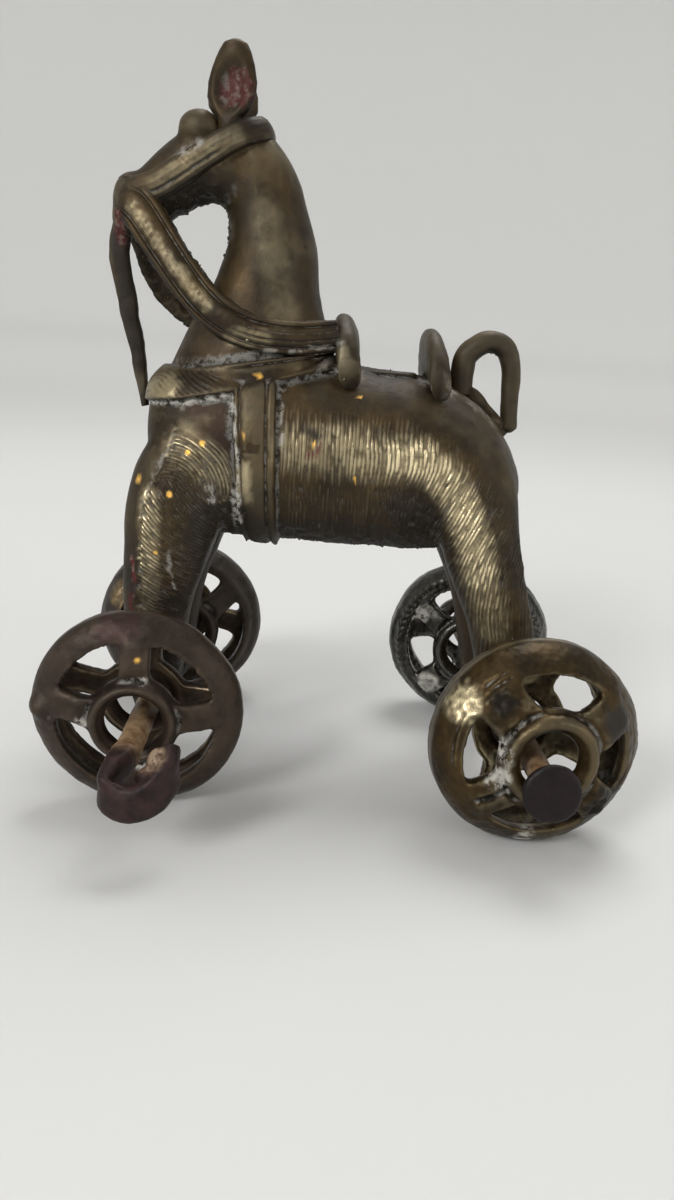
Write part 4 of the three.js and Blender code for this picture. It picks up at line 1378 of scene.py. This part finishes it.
def bronze_finish(name, dark, mid, bright, dust_and_glint, polish=0.0):
    """Old bronze: brown in the hollows, brass where hands rub it and chalky dust in the corners,
    with painted highlights laid as brass, painted glints laid as dust and painted shade laid as
    near-black bronze.
    """
    w = FinishWiring(name)
    times, spread, blend = w.times, w.spread, w.blend
    notes = ("hollow", "crust", "wear_and_highlight", "red", "soot_and_shade", "plum", "dust_and_glint", "gold")
    hollow, crust, wear_and_highlight, red, soot_and_shade, plum, dust_and_glint_mark, gold = map(w.attribute, notes)
    clouds, fine = w.noise(8.0, 4.0), w.noise(1.2, 4.0, 0.65)
    ridge, edge, deep = (
        spread(hollow, low, high) for low, high in ((0.05, -0.5), (-0.3, -0.95), (0.08, 0.55)))
    tone = spread(w.math("ADD", clouds, times(fine, 0.35)), 0.45, 0.95)
    colour = blend(tone, opaque(dark), opaque(mid))
    purple = opaque((dark[0] * 1.35, dark[1] * 0.95, dark[2] * 1.15))
    colour = blend(times(plum, 0.75), colour, purple)
    # Brass for rubbed wear, which also lays the painted highlights.
    brass = w.math("ADD", times(wear_and_highlight, spread(fine, 0.2, 0.7, 0.08, 0.45)), times(edge, 0.07))
    brass = w.math("ADD", brass, times(times(wear_and_highlight, ridge), 0.9), clamp=True)
    # Chalky dust in the hollows, which also lays the painted glints.
    chalk_and_glint = w.math("SUBTRACT", 1.0, crust, clamp=True)
    chalk_and_glint = w.math("MAXIMUM", times(times(deep, 0.3), chalk_and_glint), dust_and_glint_mark)
    chalk_and_glint = times(chalk_and_glint, spread(w.noise(1.7, 5.0, 0.7), 0.4, 0.56))
    paint = blend(spread(fine, 0.5, 0.62), RED_PAINT, PINK_PAINT)
    # Layers in order: brass with painted highlights, painted shade with some soot, dark patina in
    # the hollows, crust, dust with painted glints, red paint and gold flecks.
    for share, over in (
        (brass, opaque(bright)), (times(soot_and_shade, 0.8), opaque(dark, 0.4)),
        (times(deep, 0.8), opaque(dark, 0.25)), (times(crust, 0.85), opaque(dark, 0.3)),
        (times(chalk_and_glint, 0.85), opaque(dust_and_glint)), (times(red, 0.8), paint), (gold, GOLD_FLECK),
    ):
        colour = blend(share, colour, over)
    dull = w.math("MAXIMUM", chalk_and_glint, w.math("MAXIMUM", red, times(crust, 0.35)))
    clean = times(spread(dull, 0.0, 1.0, 1.0, 0.08), spread(soot_and_shade, 0.0, 1.0, 1.0, 0.25))
    rough = w.math("ADD", spread(brass, 0.0, 0.5, 0.47 - 0.18 * polish, 0.3),
                   spread(fine, 0.25, 0.75, -0.06, 0.06))
    rough = w.math("ADD", w.math("ADD", rough, times(dull, 0.25)), times(soot_and_shade, 0.06))
    pores = w.bump(w.noise(0.3, 3.0, 0.7), 0.06, 0.6)
    return w.surface(
        Base_Color=colour, Specular_IOR_Level=0.3, Roughness=rough,
        Metallic=times(clean, spread(brass, 0.0, 0.5, 0.5 + 0.4 * polish, 1.0)),
        Normal=w.bump(w.noise(0.9, 4.0, 0.6), 0.13, 0.5, pores),
    )


def iron_finish():
    """Forged iron: maroon brown at the ends, tan with dry rust along the shank and in the hook."""
    w = FinishWiring("forged_iron")
    y = w.add("ShaderNodeSeparateXYZ", {0: w.place}).outputs["Y"]
    far_out = w.spread(w.math("ABSOLUTE", y), 40.0, 44.0)
    stain = w.noise(2.2, 5.0, 0.65)
    rust, maroon, buff = (
        w.blend(w.spread(stain, low, high), *map(opaque, IRON_COLOURS[name]))
        for name, low, high in (("rust", 0.35, 0.65), ("maroon", 0.3, 0.7), ("buff", 0.4, 0.6)))
    colour = w.blend(far_out, rust, maroon)
    colour = w.blend(w.times(w.attribute("fold"), 0.85), colour, buff)
    colour = w.blend(w.times(w.attribute("soot_and_shade"), 0.75), colour, opaque(IRON_SOOT))
    return w.surface(
        Base_Color=colour, Specular_IOR_Level=0.3, Metallic=w.spread(far_out, 0.0, 1.0, 0.1, 0.2),
        Roughness=w.spread(stain, 0.2, 0.8, 0.36, 0.58),
        Normal=w.bump(w.noise(0.6, 4.0, 0.7), 0.1, 0.6),
    )


def pale_finish(colour):
    """The floor's even matt colour."""
    return FinishWiring("pale_ground").surface(Base_Color=opaque(colour), Roughness=0.9)


# Putting pieces in place

BUILDING_NOTES = (
    "across", "out", "along", "middle", "across_way", "out_way", "half_width", "depth", "crumbs",
)


def smooth_and_finished(obj, finish):
    obj.data.materials.clear()
    obj.data.materials.append(finish)
    obj.data.polygons.foreach_set("use_smooth", [True] * len(obj.data.polygons))


def put_in_place(piece, body, node, finish):
    """Brings a piece into the shared frame, inside the solids' box, and says what it stands for."""
    placed = (points_of(piece) + HORSE_MIDDLE) * MM
    set_points(piece, np.clip(placed, *np.array(CAD_BOX)))
    smooth_and_finished(piece, finish)
    for note in BUILDING_NOTES:
        if note in piece.data.attributes:
            piece.data.attributes.remove(piece.data.attributes[note])
    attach(piece, body)
    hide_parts(node)


class CastingSizes(bpy.types.PropertyGroup):
    wax_grain: bpy.props.FloatProperty(
        name="Wax grain", description="Size of the skin's cells before they are halved, in mm",
        default=0.52)
    strap_rise: bpy.props.FloatProperty(
        name="Strap rise", description="How far the straps stand over the skin, as a share",
        default=1.0)
    stroke_gap: bpy.props.FloatProperty(
        name="Stroke gap", description="Distance between the coat's strokes, in mm", default=0.7)
    stroke_depth: bpy.props.FloatProperty(
        name="Stroke depth", description="Height of the coat's ridges, in mm", default=0.34)
    crumbs: bpy.props.FloatProperty(
        name="Crumbs", description="Most crumbs on a square millimetre of rough skin", default=0.5)
    faces: bpy.props.IntProperty(
        name="Faces", description="Most triangles that the casting keeps", default=194000)
    wheel_grain: bpy.props.FloatProperty(
        name="Wheel grain", description="Size of the cells of a wheel's skin, in mm", default=0.42)


class FinishColours(bpy.types.PropertyGroup):
    dark: bpy.props.FloatVectorProperty(
        name="Dark bronze", description="Bronze where nothing rubs it", subtype="COLOR",
        default=(0.021, 0.0145, 0.0075))
    mid: bpy.props.FloatVectorProperty(
        name="Olive bronze", description="Bronze over most of the horse", subtype="COLOR",
        default=(0.072, 0.045, 0.0165))
    # Also the colour of the painted highlights.
    bright: bpy.props.FloatVectorProperty(
        name="Rubbed brass", description="Bronze on the high places", subtype="COLOR",
        default=(0.85, 0.72, 0.45))
    # Also the colour of the painted glints.
    dust_and_glint: bpy.props.FloatVectorProperty(
        name="Chalky dust", description="Pale dirt in the corners", subtype="COLOR",
        default=(0.50, 0.48, 0.43))
    floor: bpy.props.FloatVectorProperty(
        name="Floor", description="Pale floor", subtype="COLOR", default=(0.66, 0.66, 0.65))


class TOYHORSE_OT_casting(bpy.types.Operator):
    """Casts the horse with its harness in one piece"""

    bl_idname = "toyhorse.casting"
    bl_label = "Cast the horse"

    def execute(self, context):
        colours, sizes = context.scene.toyhorse_colours, context.scene.toyhorse_casting
        horse = cast_horse(sizes)
        harness = cast_harness(horse, sizes)
        finish = bronze_finish(
            "horse_bronze", colours.dark, colours.mid, colours.bright, colours.dust_and_glint)
        for piece, name in ((horse, "cast_horse"), (harness, "cast_harness")):
            horse_marks(piece)
            piece.name = name
            put_in_place(piece, "horse", "horse", finish)
        return {"FINISHED"}


WHEEL_FINISHES = {  # the slot, how polished it is, and its colours where they aren't the horse's
    "wheel_front_near": ("bronze_wheel_brown", 0.1, (
        (0.026, 0.018, 0.013), (0.064, 0.045, 0.031), (0.30, 0.23, 0.16))),
    "wheel_rear_near": ("bronze_horse", 0.5, None),
    "wheel_front_far": ("bronze_wheel_brown", 0.1, (
        (0.026, 0.020, 0.016), (0.055, 0.043, 0.032), (0.22, 0.16, 0.09))),
    "wheel_rear_far": ("bronze_wheel_grey", 1.0, (
        (0.022, 0.0215, 0.018), (0.075, 0.073, 0.062), (0.62, 0.60, 0.54))),
}


class TOYHORSE_OT_wheels(bpy.types.Operator):
    """Makes the four openwork wheels on their joints"""

    bl_idname = "toyhorse.wheels"
    bl_label = "Make the wheels"

    def execute(self, context):
        colours = context.scene.toyhorse_colours
        for name, (slot, polish, own) in WHEEL_FINISHES.items():
            wheel = cage_wheel(name, context.scene.toyhorse_casting)
            wheel.name = "cage_" + name
            bronze = own or (colours.dark, colours.mid, colours.bright)
            finish = bronze_finish(name + "_bronze", *bronze, colours.dust_and_glint, polish)
            put_in_place(wheel, name, name, finish)
        return {"FINISHED"}


class TOYHORSE_OT_nails(bpy.types.Operator):
    """Forges the two iron nails that serve as axles"""

    bl_idname = "toyhorse.nails"
    bl_label = "Forge the nails"

    def execute(self, context):
        finish = iron_finish()
        for nail, node in ((front_nail(), "axle_front"), (rear_nail(), "axle_rear")):
            nail.name = "forged_" + node
            put_in_place(nail, "horse", node, finish)
        return {"FINISHED"}


CAMERA_PLACE = (-3.9, -181.2, 88.4)
CAMERA_PITCH, CAMERA_YAW, CAMERA_ROLL = 16.0, 0.9, 4.0
SENSOR_WIDTH = 36.0
FOCAL_SHARE = 870 / 1200  # of the sensor's width
LIGHTS = {  # place, size and power
    "key": ((-0.75, -1.0, 0.75), 0.42, 10.0),
    "fill": ((1.2, -0.8, 0.45), 0.5, 3.0),
    "top": ((0.2, 0.5, 1.35), 0.8, 9.0),
}
LIT_PLACE = (0, 0, 0.07)
GROUND_PROFILE = [(0.001, 0), (0.5, 0), (1.0, 0), (1.3, 0.06), (1.5, 0.3), (1.58, 1.5)]
GROUND_SIDES = 96


def studio_camera():
    """Stands where the photographer stood, a little over the horse and tilted with the hand."""
    pitch, yaw, roll = map(math.radians, (CAMERA_PITCH, CAMERA_YAW, CAMERA_ROLL))
    ahead = Vector((
        math.sin(yaw) * math.cos(pitch), math.cos(yaw) * math.cos(pitch), -math.sin(pitch)))
    right = Vector((math.cos(yaw), -math.sin(yaw), 0))
    up = right.cross(ahead)
    right, up = (right * math.cos(roll) + up * math.sin(roll),
                 up * math.cos(roll) - right * math.sin(roll))
    data = bpy.data.cameras.new("camera")
    data.sensor_width = SENSOR_WIDTH
    data.lens = SENSOR_WIDTH * FOCAL_SHARE
    data.clip_start = 0.005
    camera = new_object("camera", data)
    turn = Matrix((right, up, -ahead)).transposed().to_4x4()
    place = (Vector(CAMERA_PLACE) + Vector(HORSE_MIDDLE)) * MM
    camera.matrix_world = Matrix.Translation(place) @ turn
    bpy.context.scene.camera = camera


def soft_light(name, place, size, power):
    data = bpy.data.lights.new(name, "AREA")
    data.shape = "DISK"
    data.size = size
    data.energy = power
    light = new_object(name, data)
    light.rotation_mode = "QUATERNION"
    light.rotation_quaternion = (Vector(LIT_PLACE) - Vector(place)).to_track_quat("-Z", "Y")
    light.location = place


def pale_ground(colour):
    """A wide floor that curves up all round, so that no edge of it shows."""
    u, v = oval(GROUND_SIDES).T
    rings = np.array([places(u * r, v * r, height) for r, height in between(GROUND_PROFILE, 8)])
    faces = ring_faces(len(rings), GROUND_SIDES, closed=False) + [list(range(GROUND_SIDES))[::-1]]
    ground = mesh_object("pale_ground", rings.reshape(-1, 3), faces)
    ground.data.flip_normals()
    smooth_and_finished(ground, pale_finish(colour))


class TOYHORSE_OT_stage(bpy.types.Operator):
    """Sets the pale floor, the soft lights and the camera"""

    bl_idname = "toyhorse.stage"
    bl_label = "Set the stage"

    def execute(self, context):
        pale_ground(context.scene.toyhorse_colours.floor)
        for name, light in LIGHTS.items():
            soft_light(name, *light)
        world = bpy.data.worlds.new("studio")
        world.use_nodes = True
        sky = world.node_tree.nodes["Background"].inputs
        sky["Color"].default_value = (1.0, 0.99, 0.97, 1)
        sky["Strength"].default_value = 0.55
        context.scene.world = world
        context.scene.view_settings.view_transform = "Standard"
        studio_camera()
        return {"FINISHED"}


class TOYHORSE_PT_sidebar(bpy.types.Panel):
    """Lists the horse's parts with their sizes and colours"""

    bl_idname = "TOYHORSE_PT_sidebar"
    bl_label = "Toy horse"
    bl_space_type = "VIEW_3D"
    bl_region_type = "UI"
    bl_category = "Toy horse"

    def draw(self, context):
        for operator in OPERATORS:
            self.layout.operator(operator.bl_idname)
        for group in (context.scene.toyhorse_casting, context.scene.toyhorse_colours):
            for name in group.__annotations__:
                self.layout.prop(group, name)


OPERATORS = (TOYHORSE_OT_stage, TOYHORSE_OT_casting, TOYHORSE_OT_wheels, TOYHORSE_OT_nails)
CLASSES = (CastingSizes, FinishColours, *OPERATORS, TOYHORSE_PT_sidebar)


def register():
    for cls in CLASSES:
        bpy.utils.register_class(cls)
    bpy.types.Scene.toyhorse_casting = bpy.props.PointerProperty(type=CastingSizes)
    bpy.types.Scene.toyhorse_colours = bpy.props.PointerProperty(type=FinishColours)


def unregister():
    del bpy.types.Scene.toyhorse_casting
    del bpy.types.Scene.toyhorse_colours
    for cls in reversed(CLASSES):
        bpy.utils.unregister_class(cls)


def main():
    register()
    for step in (bpy.ops.toyhorse.stage, bpy.ops.toyhorse.casting, bpy.ops.toyhorse.wheels,
                 bpy.ops.toyhorse.nails):
        step()


if __name__ == "__main__":
    main()
